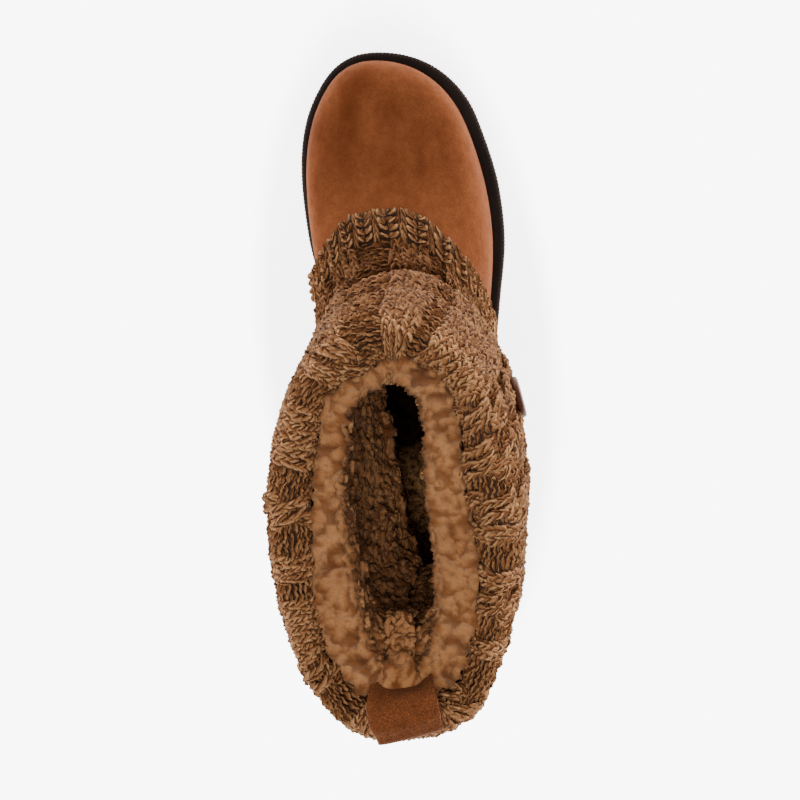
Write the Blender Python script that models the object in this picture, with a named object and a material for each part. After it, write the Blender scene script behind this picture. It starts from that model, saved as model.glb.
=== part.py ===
"""A woman's right ankle boot: suede foot, cable-knit shaft, curly fleece lining, moulded sole.

Metres, +Z up. +Y points to the toe and +X to the outer side of the foot. The origin is the
middle of the heel's flat spot, on the ground.
"""
import bisect
import math

import bmesh
import bpy
from mathutils import Euler, Vector

# Driving sizes of the sole
SOLE_LENGTH = 0.272
BALL_WIDTH = 0.102
HEEL_SETBACK = 0.034
HEEL_THICKNESS = 0.024
FOREFOOT_THICKNESS = 0.014
TOE_SPRING = 0.009
ARCH_RISE = 0.0035
SOLE_LEDGE = 0.0056
SIDE_RIB_DEPTH = 0.0008
LUG_DEPTH = 0.0026
LUG_GAP = 0.0045
HEEL_GROOVES = 3
FOREFOOT_GROOVES = 6
HEEL_GROOVES_FROM = 0.020
FOREFOOT_GROOVES_FROM = 0.545
HEEL_LUG_PITCH = 0.075
FOREFOOT_LUG_PITCH = 0.052

# Driving sizes of the upper and of what lies on it
SHAFT_HEIGHT = 0.219
SHAFT_WIDTH = 0.088
BACK_BLUNTNESS = 0.30
SHAFT_TWIST = math.radians(3.2)
OUTER_SLACK = 0.0028
GAP = 0.0003
SUEDE_WALL = 0.0022
KNIT_WALL = 0.0056
KNIT_EASE = 0.0009
KNIT_FOOT_SHARE = 0.62
CABLE_DEPTH = 0.0022
CABLES = 16
FOOT_FLEECE = 0.0060
SHAFT_FLEECE = 0.0115
ROLL_WIDTH = 0.0205
ROLL_HEIGHT = 0.0125
FLEECE_LIP = 0.0072
OUTER_BEAD_WIDTH = 0.0150
INNER_BEAD_WIDTH = 0.0110
INSOLE_THICKNESS = 0.0035
INSOLE_CLEARANCE = 0.0022
INSOLE_EDGE = 0.0008

# Driving sizes of the trim
LOOP_WIDTH = 0.030
LOOP_ROOT_WIDTH = 0.026
LOOP_THICKNESS = 0.0020
LOOP_REACH = 0.0168
LOOP_TURN = math.radians(11)
BUTTON_DIAMETER = 0.0185
BUTTON_THICKNESS = 0.0036
BUTTON_TURN = 0.318
BUTTON_LEVEL = 10.0

# How finely the surfaces are divided. Four columns carry one cable, each at its share of the
# cable's depth.
SOLE_COLUMNS = 80
FOOT_COLUMNS = 48
CABLE_SECTION = (0.0, 0.75, 1.0, 0.75)
KNIT_COLUMNS = len(CABLE_SECTION) * CABLES

# Plan outline of the sole. Each row: share of the length from the back, fullness of the
# inner and outer half and place of the middle line, as shares of the ball width.
OUTLINE = [
    # along, inner, outer, middle
    (0.00, 0.640, 0.640, 0.000),
    (0.08, 0.560, 0.560, 0.000),
    (0.17, 0.470, 0.475, 0.000),
    (0.30, 0.353, 0.405, 0.000),
    (0.43, 0.345, 0.448, 0.000),
    (0.52, 0.388, 0.486, 0.000),
    (0.62, 0.480, 0.545, 0.000),
    (0.72, 0.535, 0.592, -0.007),
    (0.83, 0.578, 0.665, -0.035),
    (0.90, 0.592, 0.755, -0.056),
    (0.95, 0.600, 0.820, -0.066),
    (1.00, 0.640, 0.900, -0.075),
]

# Side view of the sole. Each row: share of the length, rise of the ground face as shares of
# the arch rise and of the toe spring, and thickness as a share between forefoot and heel.
SOLE_PROFILE = [
    # along, arch, spring, heel share
    (0.00, 0.60, 0.00, 1.00),
    (0.04, 0.00, 0.00, 1.00),
    (0.29, 0.00, 0.00, 0.90),
    (0.35, 1.00, 0.00, 0.76),
    (0.47, 1.00, 0.00, 0.42),
    (0.54, 0.00, 0.00, 0.20),
    (0.64, 0.00, 0.00, 0.03),
    (0.80, 0.00, 0.00, 0.00),
    (0.91, 0.00, 0.38, 0.00),
    (1.00, 0.00, 1.00, -0.05),
]

# The sole's side wall from the ground up. Each row: share of the local thickness, how far it
# stands out as a share of the ledge, and whether the row carries the ribs.
SOLE_WALL = [
    # level, proud, ribbed
    (0.00, -0.75, 0),
    (0.10, -0.20, 0),
    (0.46, 0.00, 0),
    (0.50, -0.30, 0),
    (0.57, -0.30, 0),
    (0.61, 0.05, 1),
    (0.90, 0.05, 1),
    (0.96, -0.10, 0),
    (1.00, -0.35, 0),
    (1.00, -1.60, 0),
]

# The boot's form, ring by ring from the feather edge to the collar. Each ring runs between a
# point on the back seam and one on the front line. The y places are shares of the sole's
# length from its back edge, and the z places shares of the shaft's height. Width is a share
# of the feather outline on the foot and of the shaft's width above, mixed by the last column.
RINGS = [
    # back y, back z, front y, front z, sole follow, foot width, shaft width, shaft share
    (0.0165, 0.0000, 0.9835, 0.0000, 1.00, 1.000, 0.90, 0.00),
    (0.0075, 0.0730, 0.9870, 0.0640, 0.60, 1.010, 0.90, 0.00),
    (0.0060, 0.1550, 0.9670, 0.1500, 0.30, 0.985, 0.88, 0.00),
    (0.0080, 0.2190, 0.8950, 0.2030, 0.12, 0.930, 0.86, 0.05),
    (0.0110, 0.2740, 0.8000, 0.2400, 0.00, 0.865, 0.84, 0.10),
    (0.0140, 0.3290, 0.7000, 0.2880, 0.00, 0.820, 0.82, 0.25),
    (0.0160, 0.3790, 0.6170, 0.3480, 0.00, 0.800, 0.82, 0.45),
    (0.0150, 0.4380, 0.5720, 0.4200, 0.00, 0.800, 0.85, 0.70),
    (0.0090, 0.5160, 0.5620, 0.4980, 0.00, 0.800, 0.90, 0.90),
    (-0.0030, 0.6120, 0.5850, 0.6000, 0.00, 0.800, 0.98, 1.00),
    (-0.0150, 0.7350, 0.5850, 0.7260, 0.00, 0.800, 1.01, 1.00),
    (-0.0230, 0.8650, 0.5900, 0.8580, 0.00, 0.800, 1.00, 1.00),
    (-0.0270, 1.0000, 0.5850, 0.9870, 0.00, 0.800, 0.96, 1.00),
]
RIM = len(RINGS) - 1
LEVELLED_RINGS = [(float(level), *row) for level, row in enumerate(RINGS)]
SUEDE_TOP = 7.0
FOOT_LEVELS = (0.0, 1.0, 1.6, 2.2, 3.0, 4.0, 5.0, 6.0, SUEDE_TOP)

# The knit sleeve's lower edge: the ring level that it reaches on either side of the foot.
HEM = [
    # along, outer side, inner side
    (0.00, 0.16, 0.16),
    (0.40, 0.16, 0.16),
    (0.50, 1.90, 0.25),
    (0.56, 3.00, 0.85),
    (0.62, 3.70, 1.95),
    (0.68, 4.10, 3.05),
    (0.74, 4.40, 3.65),
    (0.80, 4.68, 4.05),
    (0.88, 5.00, 4.38),
    (0.95, 5.05, 4.58),
    (1.00, 4.86, 4.86),
]

# Levels past the suede's top edge between which the lining moves out to the knit.
SUEDE_EDGE = (0.1, 0.6)

# The knit's inner clearance on the foot and on the shaft, in eases, and the share of its wall
# that is left at the hem.
FOOT_EASE = 1.8
SHAFT_EASE = 0.7
HEM_THINNING = 0.55

# Section of the fleece bead over the collar. Each row: share of the bead's width inward from
# the knit roll, and share of the lip's height.
FLEECE_BEAD = (
    # across, rise
    (0.00, 0.00),
    (0.02, 0.45),
    (0.30, 0.82),
    (0.68, 0.85),
    (0.94, 0.45),
    (1.00, -0.30),
)

# How the bead's inner face runs back to the pile below it: ring level and share of the width.
BEAD_ROOT = (
    (11.45, 0.78),
    (10.60, 0.20),
)

# Slack folds of the knit shaft, outward from its resting form. Each row: the fold's ring
# level at the front and at the back, its depth in wall thicknesses and its spread in rings.
FOLDS = [
    # front level, back level, depth, spread
    (6.9, 6.2, -0.50, 0.50),
    (8.4, 7.8, 0.50, 0.80),
    (10.1, 9.3, -0.30, 0.50),
]


def eased(table, column, along):
    """Read one column of a table at a place between its rows, on a smooth curve."""
    places = [row[0] for row in table]
    i = min(max(bisect.bisect_right(places, along) - 1, 0), len(table) - 2)

    def slope(k):
        low, high = max(k - 1, 0), min(k + 1, len(table) - 1)
        return (table[high][column] - table[low][column]) / (places[high] - places[low])

    step = places[i + 1] - places[i]
    t = min(max((along - places[i]) / step, 0.0), 1.0)
    start, end = table[i][column], table[i + 1][column]
    return (
        (2 * t**3 - 3 * t**2 + 1) * start
        + (t**3 - 2 * t**2 + t) * step * slope(i)
        + (3 * t**2 - 2 * t**3) * end
        + (t**3 - t**2) * step * slope(i + 1)
    )


def straight(table, column, along):
    """Read one column of a table between its rows, on straight lines."""
    places = [row[0] for row in table]
    i = min(max(bisect.bisect_right(places, along) - 1, 0), len(table) - 2)
    t = min(max((along - places[i]) / (places[i + 1] - places[i]), 0.0), 1.0)
    return table[i][column] * (1 - t) + table[i + 1][column] * t


def smooth_step(low, high, value):
    t = min(max((value - low) / (high - low), 0.0), 1.0)
    return t * t * (3 - 2 * t)


def length_to_y(share):
    return share * SOLE_LENGTH - HEEL_SETBACK


def half_width(along, outer):
    """Width of the sole's inner or outer half at a share of its length."""
    fullness = eased(OUTLINE, 2 if outer else 1, along) * BALL_WIDTH
    return 2 * math.sqrt(max(along * (1 - along), 0.0)) * fullness


def sole_heights(y):
    """Ground face and top face of the sole at a place along it."""
    along = min(max((y + HEEL_SETBACK) / SOLE_LENGTH, 0.0), 1.0)
    ground = ARCH_RISE * max(straight(SOLE_PROFILE, 1, along), 0.0)
    spring = TOE_SPRING * max(straight(SOLE_PROFILE, 2, along), 0.0)
    heel_share = eased(SOLE_PROFILE, 3, along)
    thickness = FOREFOOT_THICKNESS + heel_share * (HEEL_THICKNESS - FOREFOOT_THICKNESS)
    return ground + spring, spring + thickness


def outline_point(turn, inset=0.0):
    """A point of the sole's plan outline. turn runs once round from the back, outer side first."""

    def bare(at):
        angle = 2 * math.pi * at
        along = (1 - math.cos(angle)) / 2
        outer = math.sin(angle) >= 0
        side = 1 if outer else -1
        middle = eased(OUTLINE, 3, along) * BALL_WIDTH
        return Vector((middle + side * half_width(along, outer), length_to_y(along)))

    point = bare(turn)
    if inset:
        run = bare(turn + 0.002) - bare(turn - 0.002)
        point += Vector((-run.y, run.x)).normalized() * inset
    return point


def form(turn, level):
    """The boot's form between lining and shell, at a turn round it and a ring level."""
    angle = 2 * math.pi * turn
    along = (1 - math.cos(angle)) / 2
    outer = math.sin(angle) >= 0
    read = [eased(LEVELLED_RINGS, column, level) for column in range(1, 9)]
    back_y, back_z, front_y, front_z, follow, foot, shaft, mix = read
    y = length_to_y(back_y + (front_y - back_y) * along)
    ends = [sole_heights(length_to_y(share))[1] for share in (back_y, front_y)]
    line = ends[0] + (ends[1] - ends[0]) * along
    rise = back_z + (front_z - back_z) * along
    base = line * (1 - follow) + sole_heights(y)[1] * follow
    reach = SHAFT_HEIGHT - HEEL_THICKNESS
    z = base * (1 - smooth_step(2, RIM - 1, level)) + rise * reach
    z += HEEL_THICKNESS * smooth_step(2, RIM - 1, level)
    inset = SOLE_LEDGE * 2 / BALL_WIDTH
    foot_half = half_width(along, outer) * foot * (1 - inset)
    blunt = 1 - BACK_BLUNTNESS * max(math.cos(angle), 0.0)
    shaft_half = abs(math.sin(angle)) ** blunt * shaft * SHAFT_WIDTH / 2
    slack = OUTER_SLACK * smooth_step(7, 9.5, level) * (1 - 0.6 * smooth_step(10.5, RIM, level))
    shaft_half += slack * abs(math.sin(angle)) * (0.1 + 1.3 * along) * outer
    half = foot_half * (1 - mix) + shaft_half * mix
    middle = eased(OUTLINE, 3, along) * BALL_WIDTH * (1 - smooth_step(1, 6, level))
    from_middle = (along - 0.5) * (front_y - back_y) * SOLE_LENGTH
    middle += math.tan(SHAFT_TWIST) * from_middle * (0.4 + 0.6 * along) * smooth_step(6, 10, level)
    return Vector((middle + (half if outer else -half), y, z))


def skin(turn, level, proud):
    """A point standing out from the boot's form, along its normal."""
    across = form(turn + 0.004, level) - form(turn - 0.004, level)
    low, high = max(level - 0.12, 0.0), min(level + 0.12, RIM)
    up = form(turn, high) - form(turn, low)
    normal = across.cross(up).normalized()
    if level < 1.0:
        normal.z *= level
        normal.normalize()
    return form(turn, level) + normal * proud


def over_rim(turn, proud, rise):
    """A point beside or above the collar's edge."""
    edge = form(turn, RIM)
    across = form(turn + 0.004, RIM) - form(turn - 0.004, RIM)
    outward = Vector((across.y, -across.x, 0.0)).normalized()
    return edge + outward * proud + Vector((0.0, 0.0, rise))


def turn_beside_back(side, proud):
    """The turn whose point at the collar's edge lies this far across from the back seam."""
    turn = 0.0
    while abs(over_rim(turn, proud, 0.0).x - over_rim(0.0, proud, 0.0).x) < abs(side) and turn < 0.2:
        turn += 0.0005
    return turn if side >= 0 else 1 - turn


def even_turns(count):
    """Turns that divide the collar into equal lengths, starting at the back."""
    fine = 720
    points = [form(i / fine, RIM) for i in range(fine + 1)]
    lengths = [0.0]
    for a, b in zip(points, points[1:]):
        lengths.append(lengths[-1] + (b - a).length)
    turns = []
    for i in range(count):
        target = lengths[-1] * i / count
        k = min(bisect.bisect_right(lengths, target) - 1, fine - 1)
        share = (target - lengths[k]) / (lengths[k + 1] - lengths[k])
        turns.append((k + share) / fine)
    return turns


def material(name, colour, roughness):
    made = bpy.data.materials.new(name)
    made.use_nodes = True
    shader = made.node_tree.nodes["Principled BSDF"]
    shader.inputs["Base Color"].default_value = (*colour, 1.0)
    shader.inputs["Roughness"].default_value = roughness
    shader.inputs["Metallic"].default_value = 0.0
    return made


def add_object(name, bm, made):
    bmesh.ops.recalc_face_normals(bm, faces=bm.faces)
    mesh = bpy.data.meshes.new(name)
    bm.to_mesh(mesh)
    bm.free()
    mesh.materials.append(made)
    mesh.shade_smooth()
    mesh.set_sharp_from_angle(angle=math.radians(50))
    item = bpy.data.objects.new(name, mesh)
    bpy.context.scene.collection.objects.link(item)
    return item


def band_between(bm, one, other):
    count = len(one)
    for i in range(count):
        j = (i + 1) % count
        bm.faces.new((one[i], one[j], other[j], other[i]))


def ring_wall(rings):
    """A closed wall: the last ring joins the first."""
    bm = bmesh.new()
    rows = [[bm.verts.new(point) for point in ring] for ring in rings]
    for i, row in enumerate(rows):
        band_between(bm, row, rows[(i + 1) % len(rows)])
    return bm


def strip_cap(bm, ring):
    """Close a ring by strips straight across the foot, from heel to toe."""
    count = len(ring)
    for i in range(count // 2):
        corners = (ring[i], ring[i + 1], ring[(count - i - 1) % count], ring[(count - i) % count])
        bm.faces.new(list(dict.fromkeys(corners)))


def ring_stack(rings):
    """A solid of stacked rings with both ends closed."""
    bm = bmesh.new()
    rows = [[bm.verts.new(point) for point in ring] for ring in rings]
    for low, high in zip(rows, rows[1:]):
        band_between(bm, low, high)
    strip_cap(bm, rows[0])
    strip_cap(bm, rows[-1])
    return bm


def tread_cutter():
    """Grooves straight across the heel and the forefoot, which leave the lugs between them."""
    bm = bmesh.new()
    heel = [HEEL_GROOVES_FROM + HEEL_LUG_PITCH * (i + 1) for i in range(HEEL_GROOVES)]
    forefoot = [
        FOREFOOT_GROOVES_FROM + FOREFOOT_LUG_PITCH * (i + 1) for i in range(FOREFOOT_GROOVES)
    ]
    for share in heel + forefoot:
        y = length_to_y(share)
        ground = sole_heights(y)[0]
        made = bmesh.ops.create_cube(bm, size=1.0)["verts"]
        for vert in made:
            vert.co.x *= 2 * BALL_WIDTH
            vert.co.y = y + vert.co.y * LUG_GAP
            vert.co.z = ground + LUG_DEPTH * (1 if vert.co.z > 0 else -2)
    cutter = add_object("tread_cutter", bm, material("cutter", (0.5, 0.5, 0.5), 0.5))
    cutter.hide_render = True
    cutter.display_type = "WIRE"
    return cutter


def make_outsole():
    rings = []
    for level, proud, ribbed in SOLE_WALL:
        ring = []
        for i in range(SOLE_COLUMNS):
            out = proud * SOLE_LEDGE + ribbed * SIDE_RIB_DEPTH * (i % 2)
            point = outline_point(i / SOLE_COLUMNS, -out)
            ground, top = sole_heights(point.y)
            ring.append(Vector((point.x, point.y, ground + (top - ground) * level)))
        rings.append(ring)
    sole = add_object("outsole", ring_stack(rings), material("rubber", (0.10, 0.05, 0.03), 0.6))
    cut = sole.modifiers.new("Tread", "BOOLEAN")
    cut.operation = "DIFFERENCE"
    cut.solver = "EXACT"
    cut.object = tread_cutter()


def make_insole():
    inset = SOLE_LEDGE + SUEDE_WALL + FOOT_FLEECE + 3 * GAP + INSOLE_CLEARANCE
    side = INSOLE_THICKNESS - INSOLE_EDGE
    rings = []
    for rise, extra in ((GAP, 0.0), (side, 0.0), (INSOLE_THICKNESS, INSOLE_EDGE)):
        ring = []
        for i in range(FOOT_COLUMNS):
            point = outline_point(i / FOOT_COLUMNS, inset + extra)
            ring.append(Vector((point.x, point.y, sole_heights(point.y)[1] + rise)))
        rings.append(ring)
    add_object("insole", ring_stack(rings), material("footbed", (0.55, 0.42, 0.28), 0.9))


def make_foot_upper():
    turns = [i / FOOT_COLUMNS for i in range(FOOT_COLUMNS)]
    lift = Vector((0.0, 0.0, GAP))
    outside = [[skin(t, level, 0.0) + lift for t in turns] for level in FOOT_LEVELS]
    inside = [[skin(t, level, -SUEDE_WALL) + lift for t in turns] for level in FOOT_LEVELS[::-1]]
    wall = ring_wall(outside + inside)
    add_object("foot_upper", wall, material("suede", (0.45, 0.22, 0.09), 0.95))


def fleece_outside(level):
    """The lining lies inside the suede on the foot and inside the knit above it."""
    step = smooth_step(SUEDE_TOP + SUEDE_EDGE[0], SUEDE_TOP + SUEDE_EDGE[1], level)
    return -(SUEDE_WALL + 3 * GAP) * (1 - step) - GAP * step


def fleece_inside(level):
    """The pile is deeper on the shaft than round the foot."""
    thick = FOOT_FLEECE + (SHAFT_FLEECE - FOOT_FLEECE) * smooth_step(5.0, 9.0, level)
    return fleece_outside(level) - thick


def loop_turn_share(turn):
    """1 behind the pull loop and 0 away from it."""
    inside = KNIT_WALL + CABLE_DEPTH - ROLL_WIDTH
    place = over_rim(turn, inside, 0.0)
    middle = over_rim(0.0, inside, 0.0)
    reach = abs(place.x - middle.x) if place.y < 0 else SHAFT_WIDTH
    return 1 - smooth_step(LOOP_ROOT_WIDTH * 0.60, LOOP_ROOT_WIDTH * 0.95, reach)


def bead_width(turn):
    """Width of the bead of fleece that swells over the collar, wider on the outer side."""
    outer = 0.5 + 0.5 * math.sin(2 * math.pi * turn)
    return INNER_BEAD_WIDTH + (OUTER_BEAD_WIDTH - INNER_BEAD_WIDTH) * outer


def make_fleece_lining():
    turns = [i / FOOT_COLUMNS for i in range(FOOT_COLUMNS)]
    lift = Vector((0.0, 0.0, GAP))
    levels = (*FOOT_LEVELS, *(SUEDE_TOP + step for step in SUEDE_EDGE), 8.3, 9.1, 10.0, 11.0)
    rings = [[skin(t, level, fleece_outside(level)) + lift for t in turns] for level in levels]
    roll_inside = ROLL_WIDTH - KNIT_WALL - CABLE_DEPTH - GAP
    rings.append([over_rim(t, -GAP, -GAP) for t in turns])
    for across, rise in FLEECE_BEAD:
        ring = []
        for t in turns:
            room = 1 - across if across < 1 else 0.0
            pocket = (2 * LOOP_THICKNESS + 3 * GAP) * loop_turn_share(t) * room
            out = roll_inside + GAP + across * bead_width(t) + pocket
            ring.append(over_rim(t, -out, FLEECE_LIP * rise - GAP * (rise == 0)))
        rings.append(ring)
    for level, share in BEAD_ROOT:
        rings.append([skin(t, level, fleece_inside(level) - share * bead_width(t)) for t in turns])
    for level in (9.4, 8.4, *FOOT_LEVELS[::-1]):
        rings.append([skin(t, level, fleece_inside(level)) + lift for t in turns])
    wall = ring_wall(rings)
    add_object("fleece_lining", wall, material("fleece", (0.55, 0.38, 0.20), 1.0))


def fold_out(turn, level):
    """How far the slack knit stands out or falls in, in metres."""
    front = (1 - math.cos(2 * math.pi * turn)) / 2
    out = 0.0
    for front_level, back_level, depth, spread in FOLDS:
        middle = back_level + (front_level - back_level) * front
        out += depth * KNIT_WALL * math.exp(-(((level - middle) / spread) ** 2))
    return out * smooth_step(4.9, 6.2, level)


def cable_out(index, level):
    """The relief of the cables, four columns to a cable, swelling where the plies cross."""
    cable = index // 4
    swell = 0.8 + 0.2 * math.cos(2 * math.pi * (level / 2.2 + 0.5 * (cable % 2)))
    return CABLE_DEPTH * CABLE_SECTION[index % 4] * swell


def knit_wall(level):
    """The knit is stretched thinner over the foot than on the shaft."""
    return KNIT_WALL * (KNIT_FOOT_SHARE + (1 - KNIT_FOOT_SHARE) * smooth_step(4.5, 8.0, level))


def hem_level(turn):
    angle = 2 * math.pi * turn
    along = (1 - math.cos(angle)) / 2
    return straight(HEM, 1 if math.sin(angle) >= 0 else 2, along)


def make_knit_shaft():
    turns = even_turns(KNIT_COLUMNS)
    shares = (0.0, 0.035, 0.10, 0.19, 0.29, 0.39, 0.48, 0.56, 0.64, 0.72, 0.80, 0.88, 0.95, 1.0)
    outside = []
    for share in shares:
        ring = []
        for i, t in enumerate(turns):
            start = hem_level(t)
            level = start + (RIM - start) * share
            wall = FOOT_EASE * KNIT_EASE + knit_wall(level) * (HEM_THINNING if share == 0 else 1.0)
            relief = cable_out(i, level) * knit_wall(level) / KNIT_WALL * (share > 0)
            ring.append(skin(t, level, wall + relief + fold_out(t, level) * (share > 0.05)))
        outside.append(ring)
    half = ROLL_WIDTH / 2
    middle = KNIT_WALL + GAP + CABLE_DEPTH - half
    for angle in (35, 65, 90, 115, 145, 168):
        a = math.radians(angle)
        ring = []
        for i, t in enumerate(turns):
            dip = CABLE_DEPTH * (1 - CABLE_SECTION[i % 4]) * max(math.sin(a), 0.2)
            out = middle + (half - dip) * math.cos(a)
            ring.append(over_rim(t, out, (ROLL_HEIGHT - dip) * math.sin(a)))
        outside.append(ring)
    outside.append([over_rim(t, middle - half, 0.0) for t in turns])
    inside = [[over_rim(t, GAP, 0.0) for t in turns]]
    for share in (0.90, 0.80, 0.70, 0.60, 0.50, 0.41, 0.32, 0.24, 0.16, 0.08, 0.0):
        ring = []
        for t in turns:
            start = hem_level(t)
            level = start + (RIM - start) * share
            ease = KNIT_EASE * (FOOT_EASE + (SHAFT_EASE - FOOT_EASE) * smooth_step(8.6, 10.0, level))
            ring.append(skin(t, level, ease))
        inside.append(ring)
    wall = ring_wall(outside + inside)
    add_object("knit_shaft", wall, material("marled_knit", (0.30, 0.17, 0.10), 1.0))


def make_pull_loop():
    """A folded suede strap. Its two ends go down between knit and fleece, and its fold lies back
    over the collar's edge."""
    half = ROLL_WIDTH / 2
    middle = KNIT_WALL + GAP + CABLE_DEPTH - half
    root = middle - half - GAP - LOOP_THICKNESS / 2
    apart = LOOP_THICKNESS + GAP
    low = ROLL_HEIGHT + 2 * GAP + LOOP_THICKNESS / 2
    tip = root + LOOP_REACH
    # The middle line of the strap: place outward, rise, and how flat it lies across
    under = [
        (root, 3 * GAP, 0.0),
        (root, ROLL_HEIGHT * 0.40, 0.0),
        (root, ROLL_HEIGHT * 0.75, 0.25),
        (root + half * 0.16, low - 0.0002, 0.75),
        (root + half * 0.50, low, 1.0),
        (root + half * 0.90, low, 1.0),
        (tip - 2 * apart, low, 1.0),
    ]
    over = [
        (tip - 2 * apart, low + 1.5 * apart, 1.0),
        (root + half * 0.90, low + 2.1 * apart, 1.0),
        (root + half * 0.50, low + 2.1 * apart, 1.0),
        (root - apart * 0.10, low + 1.5 * apart, 0.98),
        (root - apart * 0.95, low + apart * 0.1, 0.70),
        (root - apart, ROLL_HEIGHT * 0.70, 0.15),
        (root - apart, ROLL_HEIGHT * 0.40, 0.0),
        (root - apart, 3 * GAP, 0.0),
    ]
    bend = [
        (tip - 1.1 * apart, low + 0.05 * apart, 1.0),
        (tip - 0.6 * apart, low + 0.75 * apart, 1.0),
        (tip - 1.1 * apart, low + 1.45 * apart, 1.0),
    ]
    path = under + bend + over
    edge = over_rim(0.0, 0.0, 0.0)
    spin = Euler((0.0, 0.0, LOOP_TURN))
    faces_of_strap = [[], []]
    for i, (out, rise, flat) in enumerate(path):
        before, after = path[max(i - 1, 0)], path[min(i + 1, len(path) - 1)]
        run = Vector((after[0] - before[0], after[1] - before[1])).normalized()
        for sign, points in zip((1, -1), faces_of_strap):
            shift = sign * LOOP_THICKNESS / 2
            points.append((out - run.y * shift, rise + run.x * shift, flat))
    outline = faces_of_strap[0] + faces_of_strap[1][::-1]
    across = 7
    bm = bmesh.new()
    rows = []
    for k in range(across):
        share = k / (across - 1) - 0.5
        row = []
        for out, rise, flat in outline:
            width = LOOP_ROOT_WIDTH + (LOOP_WIDTH - LOOP_ROOT_WIDTH) * flat
            lying = Vector((share * width, root - out, rise))
            lying.rotate(spin)
            lying.y -= root
            turn = turn_beside_back(share * LOOP_ROOT_WIDTH, out)
            standing = over_rim(turn, out, rise)
            row.append(bm.verts.new((edge + lying) * flat + standing * (1 - flat)))
        rows.append(row)
    for one, other in zip(rows, rows[1:]):
        band_between(bm, one, other)
    count = len(path)
    for row in (rows[0], rows[-1]):
        for i in range(count - 1):
            bm.faces.new((row[i], row[i + 1], row[2 * count - 2 - i], row[2 * count - 1 - i]))
    add_object("pull_loop", bm, material("loop_suede", (0.48, 0.25, 0.11), 0.95))


def make_button():
    """A turned disc with a raised rim, flat against the knit on the outer side."""
    proud = 2 * GAP + FOOT_EASE * KNIT_EASE + knit_wall(BUTTON_LEVEL) + CABLE_DEPTH
    seat = skin(BUTTON_TURN, BUTTON_LEVEL, proud + fold_out(BUTTON_TURN, BUTTON_LEVEL))
    out = seat - skin(BUTTON_TURN, BUTTON_LEVEL, 0.0)
    out = Vector((out.x, out.y, 0.0)).normalized()
    radius = BUTTON_DIAMETER / 2
    outline = (
        (0.0, 0.82),
        (0.25, 1.0),
        (0.75, 1.0),
        (1.0, 0.86),
        (0.80, 0.70),
        (0.74, 0.30),
    )
    side = out.cross(Vector((0.0, 0.0, 1.0))).normalized()
    upright = side.cross(out).normalized()
    bm = bmesh.new()
    rows = []
    for rise, share in outline:
        ring = []
        for i in range(24):
            a = 2 * math.pi * i / 24
            ray = side * math.cos(a) + upright * math.sin(a)
            ring.append(bm.verts.new(seat + out * rise * BUTTON_THICKNESS + ray * radius * share))
        rows.append(ring)
    for low, high in zip(rows, rows[1:]):
        band_between(bm, low, high)
    bm.faces.new(rows[0])
    bm.faces.new(rows[-1])
    add_object("button", bm, material("button_brown", (0.22, 0.07, 0.04), 0.35))


def main():
    for item in list(bpy.data.objects):
        bpy.data.objects.remove(item, do_unlink=True)
    make_outsole()
    make_insole()
    make_foot_upper()
    make_fleece_lining()
    make_knit_shaft()
    make_pull_loop()
    make_button()


main()
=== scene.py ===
# %% [markdown]
# # A knit-shaft ankle boot, dressed over its plain solids
# The real boot is a suede foot on a moulded rubber sole, with a sleeve of cable knit pulled
# over it, a lining of curly fleece, a suede loop to pull it on by and a round button. The
# solids already hold those forms. This script loads them as a fixed frame, then gives every
# surface the shape and the finish that the plain solids leave out: stitches, curls, nap, ribs.

# %% Load the frame
import math

import bmesh
import bpy
import numpy as np
from mathutils import Matrix, Vector, noise


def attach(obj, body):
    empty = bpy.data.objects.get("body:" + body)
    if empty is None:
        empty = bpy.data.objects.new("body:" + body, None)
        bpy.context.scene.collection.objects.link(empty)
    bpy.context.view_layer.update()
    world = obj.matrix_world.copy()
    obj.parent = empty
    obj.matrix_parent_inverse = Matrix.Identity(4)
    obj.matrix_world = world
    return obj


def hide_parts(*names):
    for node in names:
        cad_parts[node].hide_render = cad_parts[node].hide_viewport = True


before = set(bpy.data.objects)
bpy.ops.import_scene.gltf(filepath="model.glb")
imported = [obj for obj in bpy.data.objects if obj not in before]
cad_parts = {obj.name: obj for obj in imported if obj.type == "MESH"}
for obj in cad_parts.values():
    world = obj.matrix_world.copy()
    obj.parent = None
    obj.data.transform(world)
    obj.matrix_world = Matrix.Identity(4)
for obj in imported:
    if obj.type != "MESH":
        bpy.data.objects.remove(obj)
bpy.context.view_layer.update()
random = np.random.default_rng(7)
print("nodes:", ", ".join(sorted(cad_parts)))

# %% [markdown]
# ## The camera
# The photograph looks down on the boot from a little in front of it and to its outer side.
# The camera could be placed by eye, but its place, aim and focal length were fitted to the
# boot's outline, so they are written as numbers.

# %% The camera
bpy.ops.object.camera_add()
camera = bpy.context.object
camera_spot = Vector((0.053196, 0.190391, 0.764195))
camera_aim = Vector((-0.001882, 0.070298, 0.100))
camera_roll = 0.095
back = (camera_spot - camera_aim).normalized()
side = Vector((math.sin(camera_roll), math.cos(camera_roll), 0.0)).cross(back).normalized()
camera.matrix_world = Matrix.Translation(camera_spot) @ Matrix((side, back.cross(side), back)).transposed().to_4x4()
camera.data.sensor_width = 36.0
camera.data.lens = 36.0 * 1408.58 / 800
bpy.context.scene.camera = camera
print("camera at", tuple(round(v, 3) for v in camera.location))

# %% [markdown]
# ## Floor and light
# The boot stands on a plain white sweep under soft studio light. A large pale plane does for
# the floor. It glows evenly, but the faint shadow round the sole is painted shadow: the glow
# dims in an oval round the boot. One wide lamp overhead gives the soft shade in the knit, and
# the even world light fills the rest.

# %% Floor, lamp and world
def deselect():
    """Operators act on all that is selected, so each step starts with nothing."""
    if bpy.context.object and bpy.context.object.mode != "OBJECT":
        bpy.ops.object.mode_set(mode="OBJECT")
    bpy.ops.object.select_all(action="DESELECT")


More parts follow.
